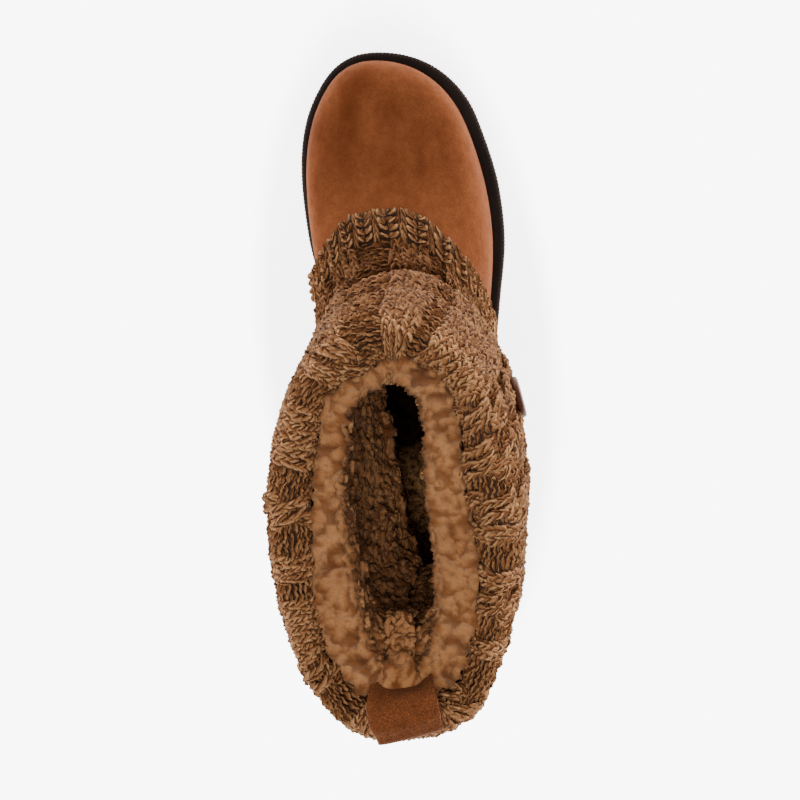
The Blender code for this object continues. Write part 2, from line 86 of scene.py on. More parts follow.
def plain_material(name, colour, roughness):
    made = bpy.data.materials.new(name)
    made.use_nodes = True
    shader = made.node_tree.nodes["Principled BSDF"]
    shader.inputs["Base Color"].default_value = (*colour, 1.0)
    shader.inputs["Roughness"].default_value = roughness
    return made


deselect()
bpy.ops.mesh.primitive_plane_add(size=12.0, location=(0, 0, -0.0005))
floor = bpy.context.object
floor.name = "floor"
bpy.ops.object.transform_apply(location=True, rotation=True, scale=True)
white = plain_material("white_floor", (0.93, 0.93, 0.93), 0.9)
white.node_tree.nodes["Principled BSDF"].inputs["Emission Color"].default_value = (1.0, 1.0, 1.0, 1.0)
# Painted shadow: the floor's glow drops to two thirds in an oval round the boot.
FLOOR_GLOW, PAINTED_SHADOW_CENTRE, PAINTED_SHADOW_SIZE = 7.5, (-0.004, 0.075, 0.0), (0.087, 0.204, 1.0)
links, make = white.node_tree.links, white.node_tree.nodes.new
painted_shadow_oval = make("ShaderNodeMapping")
painted_shadow_oval.vector_type = "TEXTURE"
painted_shadow_oval.inputs["Location"].default_value, painted_shadow_oval.inputs["Scale"].default_value = PAINTED_SHADOW_CENTRE, PAINTED_SHADOW_SIZE
links.new(make("ShaderNodeTexCoord").outputs["Object"], painted_shadow_oval.inputs["Vector"])
distance = make("ShaderNodeVectorMath")
distance.operation = "LENGTH"
links.new(painted_shadow_oval.outputs["Vector"], distance.inputs[0])
glow_with_painted_shadow = make("ShaderNodeMapRange")
glow_with_painted_shadow.interpolation_type = "SMOOTHSTEP"
for name, value in (("From Min", 0.84), ("From Max", 1.0), ("To Min", FLOOR_GLOW * 0.66), ("To Max", FLOOR_GLOW)):
    glow_with_painted_shadow.inputs[name].default_value = value
links.new(distance.outputs["Value"], glow_with_painted_shadow.inputs["Value"])
links.new(glow_with_painted_shadow.outputs["Result"], white.node_tree.nodes["Principled BSDF"].inputs["Emission Strength"])
floor.data.materials.append(white)
bpy.ops.object.light_add(type="AREA", location=(0.02, 0.06, 1.6))
lamp = bpy.context.object
lamp.data.shape = "DISK"
lamp.data.size = 0.8
lamp.data.energy = 21.0
lamp.rotation_euler = (Vector((0, 0.08, 0.1)) - lamp.location).to_track_quat("-Z", "Y").to_euler()
world = bpy.data.worlds.new("soft_studio")
bpy.context.scene.world = world
world.use_nodes = True
world.node_tree.nodes["Background"].inputs["Color"].default_value = (1.0, 1.0, 1.0, 1.0)
world.node_tree.nodes["Background"].inputs["Strength"].default_value = 0.5
print("floor, lamp and world made")

# %% [markdown]
# ## The form of the last
# Every layer of the boot is stretched over one form, so every layer here is measured from
# one form too. It is a stack of rings from the sole's edge (level 0) to the collar (level
# 12). The tables repeat the source of the solids. Arrays replace single numbers, because
# the knit alone asks for some hundred thousand points.

# %% Sizes and tables of the form
SOLE_LENGTH, BALL_WIDTH, HEEL_SETBACK = 0.272, 0.102, 0.034
HEEL_THICKNESS, FOREFOOT_THICKNESS, TOE_SPRING, ARCH_RISE = 0.024, 0.014, 0.009, 0.0035
SOLE_LEDGE, SHAFT_HEIGHT, SHAFT_WIDTH, BACK_BLUNTNESS = 0.0056, 0.219, 0.088, 0.30
SHAFT_TWIST, OUTER_SLACK = math.radians(3.2), 0.0028
GAP, SUEDE_WALL, KNIT_WALL, KNIT_EASE, KNIT_FOOT_SHARE = 0.0003, 0.0022, 0.0056, 0.0009, 0.62
CABLE_DEPTH, FOOT_FLEECE, SHAFT_FLEECE = 0.0022, 0.0060, 0.0115
ROLL_WIDTH, ROLL_HEIGHT = 0.0205, 0.0125
RIM, SUEDE_TOP = 12, 7.0
OUTLINE = np.array([  # along, inner half, outer half, middle
    (0, .640, .640, 0), (.08, .560, .560, 0), (.17, .470, .475, 0), (.30, .353, .405, 0),
    (.43, .345, .448, 0), (.52, .388, .486, 0), (.62, .480, .545, 0), (.72, .535, .592, -.007),
    (.83, .578, .665, -.035), (.90, .592, .755, -.056), (.95, .600, .820, -.066),
    (1, .640, .900, -.075)])
SOLE_PROFILE = np.array([  # along, arch, toe spring, heel share
    (0, .6, 0, 1), (.04, 0, 0, 1), (.29, 0, 0, .90), (.35, 1, 0, .76), (.47, 1, 0, .42),
    (.54, 0, 0, .20), (.64, 0, 0, .03), (.80, 0, 0, 0), (.91, 0, .38, 0), (1, 0, 1, -.05)])
RINGS = np.array([  # level, back y, back z, front y, front z, follow, foot, shaft, shaft share
    (0, .0165, 0, .9835, 0, 1, 1, .90, 0), (1, .0075, .073, .987, .064, .6, 1.01, .90, 0),
    (2, .006, .155, .967, .15, .3, .985, .88, 0), (3, .008, .219, .895, .203, .12, .93, .86, .05),
    (4, .011, .274, .80, .24, 0, .865, .84, .10), (5, .014, .329, .70, .288, 0, .82, .82, .25),
    (6, .016, .379, .617, .348, 0, .80, .82, .45), (7, .015, .438, .572, .42, 0, .80, .85, .70),
    (8, .009, .516, .562, .498, 0, .80, .90, .90), (9, -.003, .612, .585, .60, 0, .80, .98, 1),
    (10, -.015, .735, .585, .726, 0, .80, 1.01, 1), (11, -.023, .865, .59, .858, 0, .80, 1, 1),
    (12, -.027, 1, .585, .987, 0, .80, .96, 1)])
HEM = np.array([  # along, outer level, inner level
    (0, .16, .16), (.40, .16, .16), (.50, 1.90, .25), (.56, 3.00, .85), (.62, 3.70, 1.95), (.68, 4.10, 3.05),
    (.74, 4.40, 3.65), (.80, 4.68, 4.05), (.88, 5.00, 4.38), (.95, 5.05, 4.58), (1, 4.86, 4.86)])
COLLAR = np.array([  # turn, inner edge of the roll, width of the fleece bead, hang of the lining
    (-.08, .0088, .0150, .0080), (-.03, .0128, .0150, 0), (0, .0138, .0150, 0), (.03, .0128, .0150, 0), (.06, .0092, .0150, 0), (.09, .0066, .0148, 0), (.15, .0066, .0148, 0),
    (.19, .0078, .0160, 0), (.23, .0106, .0158, 0), (.28, .0136, .0144, 0), (.32, .0112, .0135, 0), (.36, .0088, .0123, 0),
    (.39, .0096, .0118, 0), (.43, .0146, .0095, 0), (.47, .0174, .0078, 0), (.53, .0177, .0074, 0), (.58, .0156, .0078, .001),
    (.63, .0088, .0088, .0045), (.67, .0104, .0096, .0110), (.72, .0114, .0104, .0160), (.77, .0102, .0136, .0175),
    (.81, .0078, .0158, .0172), (.86, .0060, .0160, .0150), (.92, .0088, .0150, .0080), (.97, .0128, .0150, 0), (1, .0138, .0150, 0), (1.03, .0128, .0150, 0)])
FOLDS = ((6.9, 6.2, -.50, .50), (8.4, 7.8, .50, .80), (10.1, 9.3, -.30, .50))


# %% Reading the form
def eased(table, column, at):
    """Read a table's column between its rows on a smooth curve."""
    places, values = table[:, 0], table[:, column]
    last = len(places) - 1
    low, high = np.maximum(np.arange(last + 1) - 1, 0), np.minimum(np.arange(last + 1) + 1, last)
    slopes = (values[high] - values[low]) / (places[high] - places[low])
    i = np.clip(np.searchsorted(places, at, side="right") - 1, 0, last - 1)
    step = places[i + 1] - places[i]
    t = np.clip((at - places[i]) / step, 0, 1)
    rising = (2 * t**3 - 3 * t**2 + 1) * values[i] + (t**3 - 2 * t**2 + t) * step * slopes[i]
    return rising + (3 * t**2 - 2 * t**3) * values[i + 1] + (t**3 - t**2) * step * slopes[i + 1]


def roll_edge(turn):
    """How far inside the collar's edge the knit roll ends."""
    return eased(COLLAR, 1, np.mod(turn, 1))


def straight(table, column, at):
    return np.interp(at, table[:, 0], table[:, column])


def smooth_step(low, high, value):
    t = np.clip((value - low) / (high - low), 0, 1)
    return t * t * (3 - 2 * t)


def length_to_y(share):
    return share * SOLE_LENGTH - HEEL_SETBACK


def half_width(along, outer):
    fullness = np.where(outer, eased(OUTLINE, 2, along), eased(OUTLINE, 1, along)) * BALL_WIDTH
    return 2 * np.sqrt(np.maximum(along * (1 - along), 0)) * fullness


def sole_heights(y):
    """Ground face and top face of the sole."""
    along = np.clip((y + HEEL_SETBACK) / SOLE_LENGTH, 0, 1)
    ground = ARCH_RISE * np.maximum(straight(SOLE_PROFILE, 1, along), 0)
    spring = TOE_SPRING * np.maximum(straight(SOLE_PROFILE, 2, along), 0)
    thick = FOREFOOT_THICKNESS + eased(SOLE_PROFILE, 3, along) * (HEEL_THICKNESS - FOREFOOT_THICKNESS)
    return ground + spring, spring + thick


def form(turn, level):
    """Points of the form. turn runs once round from the back, outer side first."""
    turn, level = np.broadcast_arrays(np.asarray(turn, float), np.asarray(level, float))
    angle = 2 * np.pi * turn
    along, outer = (1 - np.cos(angle)) / 2, np.sin(angle) >= 0
    back_y, back_z, front_y, front_z, follow, foot, shaft, mix = (eased(RINGS, c, level) for c in range(1, 9))
    y = length_to_y(back_y + (front_y - back_y) * along)
    ends = [sole_heights(length_to_y(share))[1] for share in (back_y, front_y)]
    base = (ends[0] + (ends[1] - ends[0]) * along) * (1 - follow) + sole_heights(y)[1] * follow
    rise = back_z + (front_z - back_z) * along
    lift = smooth_step(2, RIM - 1, level)
    z = base * (1 - lift) + rise * (SHAFT_HEIGHT - HEEL_THICKNESS) + HEEL_THICKNESS * lift
    foot_half = half_width(along, outer) * foot * (1 - SOLE_LEDGE * 2 / BALL_WIDTH)
    sine = np.abs(np.sin(angle))
    shaft_half = sine ** (1 - BACK_BLUNTNESS * np.maximum(np.cos(angle), 0)) * shaft * SHAFT_WIDTH / 2
    slack = OUTER_SLACK * smooth_step(7, 9.5, level) * (1 - 0.6 * smooth_step(10.5, RIM, level))
    shaft_half = shaft_half + slack * sine * (0.1 + 1.3 * along) * outer
    half = foot_half * (1 - mix) + shaft_half * mix
    middle = eased(OUTLINE, 3, along) * BALL_WIDTH * (1 - smooth_step(1, 6, level))
    from_middle = (along - 0.5) * (front_y - back_y) * SOLE_LENGTH
    middle = middle + math.tan(SHAFT_TWIST) * from_middle * (0.4 + 0.6 * along) * smooth_step(6, 10, level)
    return np.stack([middle + np.where(outer, half, -half), y, z], axis=-1)


def unit(vectors):
    return vectors / np.maximum(np.linalg.norm(vectors, axis=-1, keepdims=True), 1e-12)


def skin(turn, level, proud):
    """Points standing out from the form along its normal."""
    turn, level, proud = np.broadcast_arrays(*(np.asarray(v, float) for v in (turn, level, proud)))
    across = form(turn + 0.004, level) - form(turn - 0.004, level)
    up = form(turn, np.minimum(level + 0.12, RIM)) - form(turn, np.maximum(level - 0.12, 0))
    normal = unit(np.cross(across, up))
    normal[..., 2] *= np.where(level < 1, level, 1)
    return form(turn, level) + unit(normal) * proud[..., None]


def over_rim(turn, proud, rise):
    """Points beside or above the collar's edge."""
    turn, proud, rise = np.broadcast_arrays(*(np.asarray(v, float) for v in (turn, proud, rise)))
    across = form(turn + 0.004, RIM) - form(turn - 0.004, RIM)
    outward = unit(np.stack([across[..., 1], -across[..., 0], np.zeros(turn.shape)], axis=-1))
    points = form(turn, RIM) + outward * proud[..., None]
    points[..., 2] += rise
    return points


def even_turns(count):
    """Turns that divide the collar into equal lengths."""
    fine = np.linspace(0, 1, 1441)
    steps = np.linalg.norm(np.diff(form(fine, RIM), axis=0), axis=1)
    lengths = np.concatenate([[0], np.cumsum(steps)])
    return np.interp(np.arange(count) * lengths[-1] / count, lengths, fine)


print("collar is", round(float(np.ptp(form(even_turns(80), RIM)[:, 1])) * 1000), "mm from back to front")

# %% [markdown]
# ## Helpers for walls and nodes
# A layer of a boot is a wall with two faces and two edges. Rings of points, joined one to the
# next and the last to the first, give such a wall with no hole in it. Materials are built
# from nodes, and one helper that adds a node and plugs in its inputs keeps those lines short.

# %% Helpers
def mesh_piece(name, points, faces, material, replaces=()):
    """Make an object from points and faces and hang it on the frame."""
    mesh = bpy.data.meshes.new(name)
    mesh.from_pydata(np.asarray(points).reshape(-1, 3).tolist(), [], np.asarray(faces).tolist())
    mesh.update()
    mesh.shade_smooth()
    piece = bpy.data.objects.new(name, mesh)
    bpy.context.scene.collection.objects.link(piece)
    return dress(piece, material, replaces)


def dress(piece, material, replaces=()):
    piece.data.materials.clear()
    piece.data.materials.append(material)
    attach(piece, "root")
    if replaces:
        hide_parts(*replaces)
    triangles = sum(len(face.vertices) - 2 for face in piece.data.polygons)
    print(piece.name, "has", triangles, "triangles")
    return piece


def ring_faces(rows, columns, closed):
    """Quads between neighbouring rings. closed joins the last ring to the first."""
    row = np.arange(rows if closed else rows - 1)[:, None]
    column = np.arange(columns)[None, :]
    after, beside = (row + 1) % rows, (column + 1) % columns
    quads = [row * columns + column, row * columns + beside, after * columns + beside, after * columns + column]
    return np.stack(np.broadcast_arrays(*quads), axis=-1).reshape(-1, 4)


def add_node(tree, kind, inputs=None, **settings):
    made = tree.nodes.new(kind)
    for name, value in settings.items():
        setattr(made, name, value)
    for name, value in (inputs or {}).items():
        socket = made.inputs[name]
        if isinstance(value, bpy.types.NodeSocket):
            tree.links.new(value, socket)
        else:
            socket.default_value = value
    return made


def new_finish(name, roughness, sheen=0.0, sheen_tint=(1, 1, 1)):
    """A material, its node tree and its shader."""
    made = plain_material(name, (0.5, 0.5, 0.5), roughness)
    shader = made.node_tree.nodes["Principled BSDF"]
    shader.inputs["Sheen Weight"].default_value = sheen
    shader.inputs["Sheen Roughness"].default_value = 0.5
    shader.inputs["Sheen Tint"].default_value = (*sheen_tint, 1.0)
    shader.inputs["Specular IOR Level"].default_value = 0.2
    return made, made.node_tree, shader


def ramp(tree, factor, stops):
    """Colours along a value. Each stop is a place and a colour."""
    made = add_node(tree, "ShaderNodeValToRGB", {"Fac": factor})
    while len(made.color_ramp.elements) < len(stops):
        made.color_ramp.elements.new(0.5)
    for element, (place, colour) in zip(made.color_ramp.elements, stops):
        element.position = place
        element.color = (*colour, 1.0)
    return made.outputs["Color"]


def mix_colour(tree, kind, factor, one, other):
    made = add_node(tree, "ShaderNodeMix", data_type="RGBA", blend_type=kind)
    for index, value in ((0, factor), (6, one), (7, other)):
        socket = made.inputs[index]
        if isinstance(value, bpy.types.NodeSocket):
            tree.links.new(value, socket)
        else:
            socket.default_value = value if index == 0 else (*value, 1.0)
    return made.outputs[2]


def arithmetic(tree, operation, one, other=0.0, third=0.0):
    made = add_node(tree, "ShaderNodeMath", operation=operation)
    for socket, value in zip(made.inputs, (one, other, third)):
        if isinstance(value, bpy.types.NodeSocket):
            tree.links.new(value, socket)
        else:
            socket.default_value = value
    return made.outputs[0]


def speckle(tree, where, scale, detail=2.0, roughness=0.5):
    return add_node(tree, "ShaderNodeTexNoise", {"Vector": where, "Scale": scale, "Detail": detail, "Roughness": roughness}).outputs["Fac"]


def relief(tree, shader, height, distance, strength=1.0):
    bump = add_node(tree, "ShaderNodeBump", {"Height": height, "Distance": distance, "Strength": strength})
    tree.links.new(bump.outputs["Normal"], shader.inputs["Normal"])


def object_place(tree):
    return add_node(tree, "ShaderNodeTexCoord").outputs["Object"]


print("helpers ready")

# %% [markdown]
# ## The sole
# The sole is moulded in one piece from dark brown rubber. Its lower half is smooth, then a
# narrow waist, and the upper band is covered in fine slanting ribs about a millimetre apart.
# A bump map would lose them along the edge that the camera sees against the white floor, so
# they are modelled: the sole is drawn as rings, and every other column of the band stands out.

# %% The sole's finish
rubber, tree, shader = new_finish("dark_rubber", 0.75)
shader.inputs["Specular IOR Level"].default_value = 0.1
place = object_place(tree)
grain = speckle(tree, place, 900.0, 3.0)
cloud = speckle(tree, place, 45.0)
# Painted highlight: the ribs that stand out are coloured a lighter brown than the rest.
crest_highlight = add_node(tree, "ShaderNodeAttribute", attribute_name="crest_highlight").outputs["Fac"]
moulded = ramp(tree, cloud, ((0.25, (0.008, 0.005, 0.004)), (0.8, (0.018, 0.011, 0.008))))
tree.links.new(mix_colour(tree, "MIX", crest_highlight, moulded, (0.050, 0.029, 0.020)), shader.inputs["Base Color"])
relief(tree, shader, grain, 0.0002, 0.5)

# %% The sole's rings
SOLE_COLUMNS = 1280
SOLE_WALL = (  # level, proud as a share of the ledge, rib depth as a share
    (0.00, -.75, 0), (.03, -.42, 0), (.10, -.20, 0), (.25, -.04, 0), (.46, 0, 0), (.50, -.30, 0),
    (.57, -.30, 0), (.61, .02, 1), (.71, .06, 1), (.81, .06, 1), (.90, .03, 1), (.96, -.10, .4),
    (1, -.35, 0), (1, -.95, 0), (1, -1.60, 0))


def outline_points(turn, out):
    """The sole's plan outline, moved outward by a distance."""
    def bare(at):
        angle = 2 * np.pi * at
        along, outer = (1 - np.cos(angle)) / 2, np.sin(angle) >= 0
        x = eased(OUTLINE, 3, along) * BALL_WIDTH + np.where(outer, 1, -1) * half_width(along, outer)
        return np.stack([x, length_to_y(along)], axis=-1)
    run = unit(bare(turn + 0.002) - bare(turn - 0.002))
    return bare(turn) + np.stack([run[:, 1], -run[:, 0]], axis=-1) * np.asarray(out)[..., None]


fine = np.linspace(0, 1, 2001)
steps = np.linalg.norm(np.diff(outline_points(fine, 0.0), axis=0), axis=1)
lengths = np.concatenate([[0], np.cumsum(steps)])
sole_turns = np.interp(np.arange(SOLE_COLUMNS) * lengths[-1] / SOLE_COLUMNS, lengths, fine)
rings, crest_highlights = [], []
for row, (level, proud, ribbed) in enumerate(SOLE_WALL):
    slant = ((np.arange(SOLE_COLUMNS) + row) % 4 < 2) * 0.00032 * ribbed
    flat = outline_points(sole_turns, proud * SOLE_LEDGE + slant)
    ground, top = sole_heights(flat[:, 1])
    rings.append(np.column_stack([flat, ground + (top - ground) * level]))
    # Each rib that stands out is marked for the painted highlight.
    crest_highlights.append(slant / 0.00032)
count = len(rings)
faces = ring_faces(count, SOLE_COLUMNS, False).tolist()
for ring, order in ((0, -1), (count - 1, 1)):
    for i in range(SOLE_COLUMNS // 2):
        corners = [i, (i + 1), (SOLE_COLUMNS - i - 1) % SOLE_COLUMNS, (SOLE_COLUMNS - i) % SOLE_COLUMNS]
        corners = list(dict.fromkeys(ring * SOLE_COLUMNS + corner for corner in corners))
        faces.append(corners[::order])
mesh = bpy.data.meshes.new("outsole_ribbed")
mesh.from_pydata(np.concatenate(rings).tolist(), [], faces)
mesh.attributes.new("crest_highlight", "FLOAT", "POINT").data.foreach_set("value", np.concatenate(crest_highlights).astype(np.float32))
outsole = bpy.data.objects.new("outsole_ribbed", mesh)
bpy.context.scene.collection.objects.link(outsole)
print("sole perimeter", round(lengths[-1] * 1000), "mm")

# %% [markdown]
# The tread is a row of lugs with grooves straight across. Cutting them with boxes, as a
# mould maker's cutter would, keeps the grooves where the solid has them.

# %% Cut the tread
deselect()
boxes = []
for share in [0.020 + 0.075 * (i + 1) for i in range(3)] + [0.545 + 0.052 * (i + 1) for i in range(6)]:
    y = length_to_y(share)
    bpy.ops.mesh.primitive_cube_add(size=1.0, location=(0, y, float(sole_heights(y)[0]) - 0.0013), scale=(0.2, 0.0045, 0.0078))
    boxes.append(bpy.context.object)
for item in boxes:
    item.select_set(True)
bpy.ops.object.join()
cutter = bpy.context.object
deselect()
outsole.select_set(True)
bpy.context.view_layer.objects.active = outsole
cut = outsole.modifiers.new("tread", "BOOLEAN")
cut.operation, cut.solver, cut.object = "DIFFERENCE", "EXACT", cutter
bpy.ops.object.modifier_apply(modifier=cut.name)
bpy.data.objects.remove(cutter, do_unlink=True)
bpy.ops.object.shade_smooth_by_angle(angle=math.radians(38))
dress(outsole, rubber, ("outsole",))

# %% [markdown]
# ## The footbed
# The footbed is a thin foam insert under the fleece, which can be seen only down the shaft.
# The solid has the right shape, so it stays and gets a clumped finish, which is darkened toward
# the toes with painted shade, deep in the shaft.

# %% The footbed's finish
felt, tree, shader = new_finish("footbed_pile", 1.0, 0.1, (0.9, 0.7, 0.5))
place = object_place(tree)
clump = speckle(tree, place, 260.0, 3.0, 0.6)
pile_colour = ramp(tree, clump, ((0.38, (0.140, 0.062, 0.025)), (0.60, (0.72, 0.36, 0.15))))
# Painted shade: the footbed turns near-black toward the toes.
forward = add_node(tree, "ShaderNodeSeparateXYZ", {"Vector": place}).outputs["Y"]
wear_and_painted_shade = add_node(tree, "ShaderNodeMapRange", {"Value": forward, "From Min": 0.012, "From Max": 0.034}).outputs["Result"]
tree.links.new(mix_colour(tree, "MULTIPLY", wear_and_painted_shade, pile_colour, (0.03, 0.025, 0.02)), shader.inputs["Base Color"])
relief(tree, shader, clump, 0.0025, 1.0)
shader.inputs["Specular IOR Level"].default_value = 0.05
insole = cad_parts["insole"]
for slot_of_node in insole.material_slots:
    slot_of_node.material = felt
print("footbed finished")

# %% [markdown]
# ## The suede foot
# The foot is one wrap of suede, drawn smooth over the last, with a short nap. Where a hand
# has brushed the nap the other way it looks darker, in soft patches. The solid has true
# curves but few faces, so a merged copy of it is subdivided, which rounds it between its
# rings without moving them. The nap is colour and bump: hairs would be finer than a pixel.

# %% The suede's finish
suede, tree, shader = new_finish("chestnut_suede", 1.0)
place = object_place(tree)
stretch = add_node(tree, "ShaderNodeMapping", {"Vector": place, "Scale": (1.0, 0.45, 1.0), "Rotation": (0, 0, 0.35)}).outputs["Vector"]
brushed_nap_and_shade = speckle(tree, stretch, 62.0, 3.0, 0.55)
mottle = speckle(tree, place, 210.0, 4.0, 0.6)
nap = speckle(tree, place, 1300.0, 3.0, 0.75)
patches = ramp(tree, brushed_nap_and_shade, ((0.34, (0.184, 0.053, 0.018)), (0.50, (0.219, 0.066, 0.023)), (0.74, (0.248, 0.078, 0.028))))
soft = mix_colour(tree, "MULTIPLY", 0.6, patches, ramp(tree, mottle, ((0.3, (0.66, 0.64, 0.60)), (0.7, (1.0, 1.0, 1.0)))))
fuzzy = mix_colour(tree, "MULTIPLY", 0.75, soft, ramp(tree, nap, ((0.3, (0.66, 0.64, 0.6)), (0.65, (1.0, 1.0, 1.0)))))
# The brushed patches and the painted shade low on the sides darken the suede through one value.
nap_and_painted_shade = add_node(tree, "ShaderNodeAttribute", attribute_name="brushed_nap_and_shade").outputs["Fac"]
tree.links.new(mix_colour(tree, "MULTIPLY", nap_and_painted_shade, fuzzy, (0.56, 0.46, 0.36)), shader.inputs["Base Color"])
relief(tree, shader, arithmetic(tree, "ADD", nap, arithmetic(tree, "MULTIPLY", mottle, 1.2)), 0.0007, 0.9)
shader.inputs["Specular IOR Level"].default_value = 0.04


# %% Copy, merge and round the foot
def rounded_copy(node, name, levels):
    """A merged, subdivided copy of a solid. The solid itself is left alone."""
    deselect()
    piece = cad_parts[node].copy()
    piece.data = piece.data.copy()
    piece.name = piece.data.name = name
    piece.parent = None
    piece.matrix_world = Matrix.Identity(4)
    bpy.context.scene.collection.objects.link(piece)
    piece.select_set(True)
    bpy.context.view_layer.objects.active = piece
    bpy.ops.object.mode_set(mode="EDIT")
    bpy.ops.mesh.select_all(action="SELECT")
    bpy.ops.mesh.remove_doubles(threshold=0.00002)
    bpy.ops.mesh.customdata_custom_splitnormals_clear()
    bpy.ops.mesh.tris_convert_to_quads(face_threshold=math.radians(60), shape_threshold=math.radians(60))
    bpy.ops.object.mode_set(mode="OBJECT")
    rounding = piece.modifiers.new("rounding", "SUBSURF")
    rounding.levels = rounding.render_levels = levels
    bpy.ops.object.modifier_apply(modifier=rounding.name)
    bpy.ops.object.shade_smooth()
    return piece


foot = rounded_copy("foot_upper", "suede_foot", 2)
dress(foot, suede, ("foot_upper",))
BRUSHED = (  # x, y, radius along x, radius along y, depth
    (-.0086, .2250, .006, .008, .75), (-.0165, .2120, .005, .016, .62), (.0043, .2088, .007, .007, .62),
    (-.0334, .2026, .010, .006, .45), (.0255, .1984, .006, .008, .32), (.0082, .1804, .011, .007, .30), (-.0212, .1905, .007, .016, .36))
spots = np.array([vert.co for vert in foot.data.vertices])
shade = sum(depth * np.exp(-((spots[:, 0] - x) / wide) ** 2 - ((spots[:, 1] - y) / long) ** 2) for x, y, wide, long, depth in BRUSHED)
# Painted shade: the suede is darkened by up to a third low on its sides, on top of the brushed patches.
low = 0.30 * (1 - smooth_step(0.020, 0.058, spots[:, 2]))
foot.data.attributes.new("brushed_nap_and_shade", "FLOAT", "POINT").data.foreach_set("value", np.minimum(shade + low, 0.85).astype(np.float32))

# %% [markdown]
# ## The knit sleeve as a sheet
# The sleeve is one knitted tube: it starts at the ribbed hem on the foot, climbs the shaft,
# rolls over the collar and ends against the fleece. Stitches stand in columns that run up
# the tube, and rows that run round it, so the sheet is measured in columns and rows first.
# A stitch has one size all over the tube, so the rows are counted down from the collar, and
# at the front, where the wall is short, fewer of them fit in above the hem.

# %% Columns and rows of the sheet
COLUMNS, SHAFT_ROWS, ROLL_ROWS = 112, 72, 12
ROWS = SHAFT_ROWS + ROLL_ROWS
ROW_PITCH, HEM_PITCH, HEM_ROWS = 0.0032, 0.0042, 4
FINE, FRONT_PULL = 3, 0.0060


def knit_wall(level):
    return KNIT_WALL * (KNIT_FOOT_SHARE + (1 - KNIT_FOOT_SHARE) * smooth_step(4.5, 8.0, level))


def fold_out(turn, level):
    front = (1 - np.cos(2 * np.pi * turn)) / 2
    out = sum(depth * KNIT_WALL * np.exp(-((level - back - (at - back) * front) / spread) ** 2)
              for at, back, depth, spread in FOLDS)
    return out * smooth_step(4.9, 6.2, level)


def hem_level(turn):
    angle = 2 * np.pi * turn
    along = (1 - np.cos(angle)) / 2
    return np.where(np.sin(angle) >= 0, straight(HEM, 1, along), straight(HEM, 2, along))


def at_front(turn):
    return ((1 - np.cos(2 * np.pi * turn)) / 2) ** 5


def crease(turn, level):
    """The slack ridge over the instep and the trough behind it, and the collar's pull inward,
    at the front only."""
    front = at_front(turn)
    return front * (0.0036 * np.exp(-((level - 6.25) / 0.40) ** 2) - 0.0052 * np.exp(-((level - 7.25) / 0.45) ** 2)
                    - FRONT_PULL * smooth_step(9.2, RIM, level))


sheet_turns = even_turns(COLUMNS * FINE)[:, None]
levels = hem_level(sheet_turns) + (RIM - hem_level(sheet_turns)) * np.linspace(0, 1, 90)[None, :]
thickness = KNIT_EASE * 1.8 + knit_wall(levels) + CABLE_DEPTH * knit_wall(levels) / KNIT_WALL
thickness *= 0.60 + 0.40 * smooth_step(0.0, 2.2, levels - hem_level(sheet_turns))
wall_path = skin(sheet_turns, levels, thickness + fold_out(sheet_turns, levels) + crease(sheet_turns, levels))
roll_outside = KNIT_WALL + GAP + CABLE_DEPTH - FRONT_PULL * at_front(sheet_turns)
roll_half = (roll_outside + roll_edge(sheet_turns)) / 2
roll_middle = roll_outside - roll_half
bend = np.radians(np.linspace(8, 178, 40))[None, :]
roll_path = over_rim(sheet_turns, roll_middle + roll_half * np.cos(bend), ROLL_HEIGHT * np.sin(bend))


def resampled(path, rows):
    """The same path in equal steps along its length, column by column."""
    steps = np.linalg.norm(np.diff(path, axis=1), axis=2)
    lengths = np.concatenate([np.zeros((len(path), 1)), np.cumsum(steps, axis=1)], axis=1)
    out = np.empty((len(path), rows, 3))
    for i in range(len(path)):
        for axis in range(3):
            out[i, :, axis] = np.interp(np.linspace(0, lengths[i, -1], rows), lengths[i], path[i, :, axis])
    return out


wall_length = np.linalg.norm(np.diff(wall_path, axis=1), axis=2).sum(axis=1)
low = resampled(wall_path, SHAFT_ROWS * FINE + 1)
high = resampled(np.concatenate([wall_path[:, -1:], roll_path], axis=1), ROLL_ROWS * FINE + 1)
sheet = np.concatenate([low[:, :-1], high], axis=1)
round_way = np.roll(sheet, -1, axis=0) - np.roll(sheet, 1, axis=0)
sheet_out = unit(np.cross(round_way, np.gradient(sheet, axis=1)))
for _ in range(2):
    sheet_out[:, 1:-1] = unit(sheet_out[:, :-2] + sheet_out[:, 1:-1] * 2 + sheet_out[:, 2:])


def wall_rows(column, length):
    """A length along the wall as rows of the sheet, which divide each column evenly."""
    whole = np.interp(np.mod(column, COLUMNS), np.arange(COLUMNS * FINE + 1) / FINE, np.append(wall_length, wall_length[0]))
    return length * SHAFT_ROWS / whole


def stitch_row(column, row):
    """The sheet's row for a row of stitches, which all have one height below the collar."""
    return np.where(row < SHAFT_ROWS, SHAFT_ROWS - wall_rows(column, (SHAFT_ROWS - row) * ROW_PITCH), row)


def on_sheet(column, row, height):
    """Points on the sheet, at a column, a row and a height over it."""
    u = np.mod(column, COLUMNS) * FINE
    v = np.clip(row, 0, ROWS) * FINE
    i, j = np.floor(u).astype(int) % (COLUMNS * FINE), np.minimum(np.floor(v).astype(int), ROWS * FINE - 1)
    fu, fv = (u - np.floor(u))[..., None], (v - j)[..., None]
    beside = (i + 1) % (COLUMNS * FINE)
    blend = lambda grid: (grid[i, j] * (1 - fu) + grid[beside, j] * fu) * (1 - fv) + (grid[i, j + 1] * (1 - fu) + grid[beside, j + 1] * fu) * fv
    return blend(sheet) + unit(blend(sheet_out)) * np.asarray(height)[..., None]


print("sheet of", COLUMNS, "columns; the wall holds", int(wall_length.min() / ROW_PITCH), "to", int(wall_length.max() / ROW_PITCH), "rows")

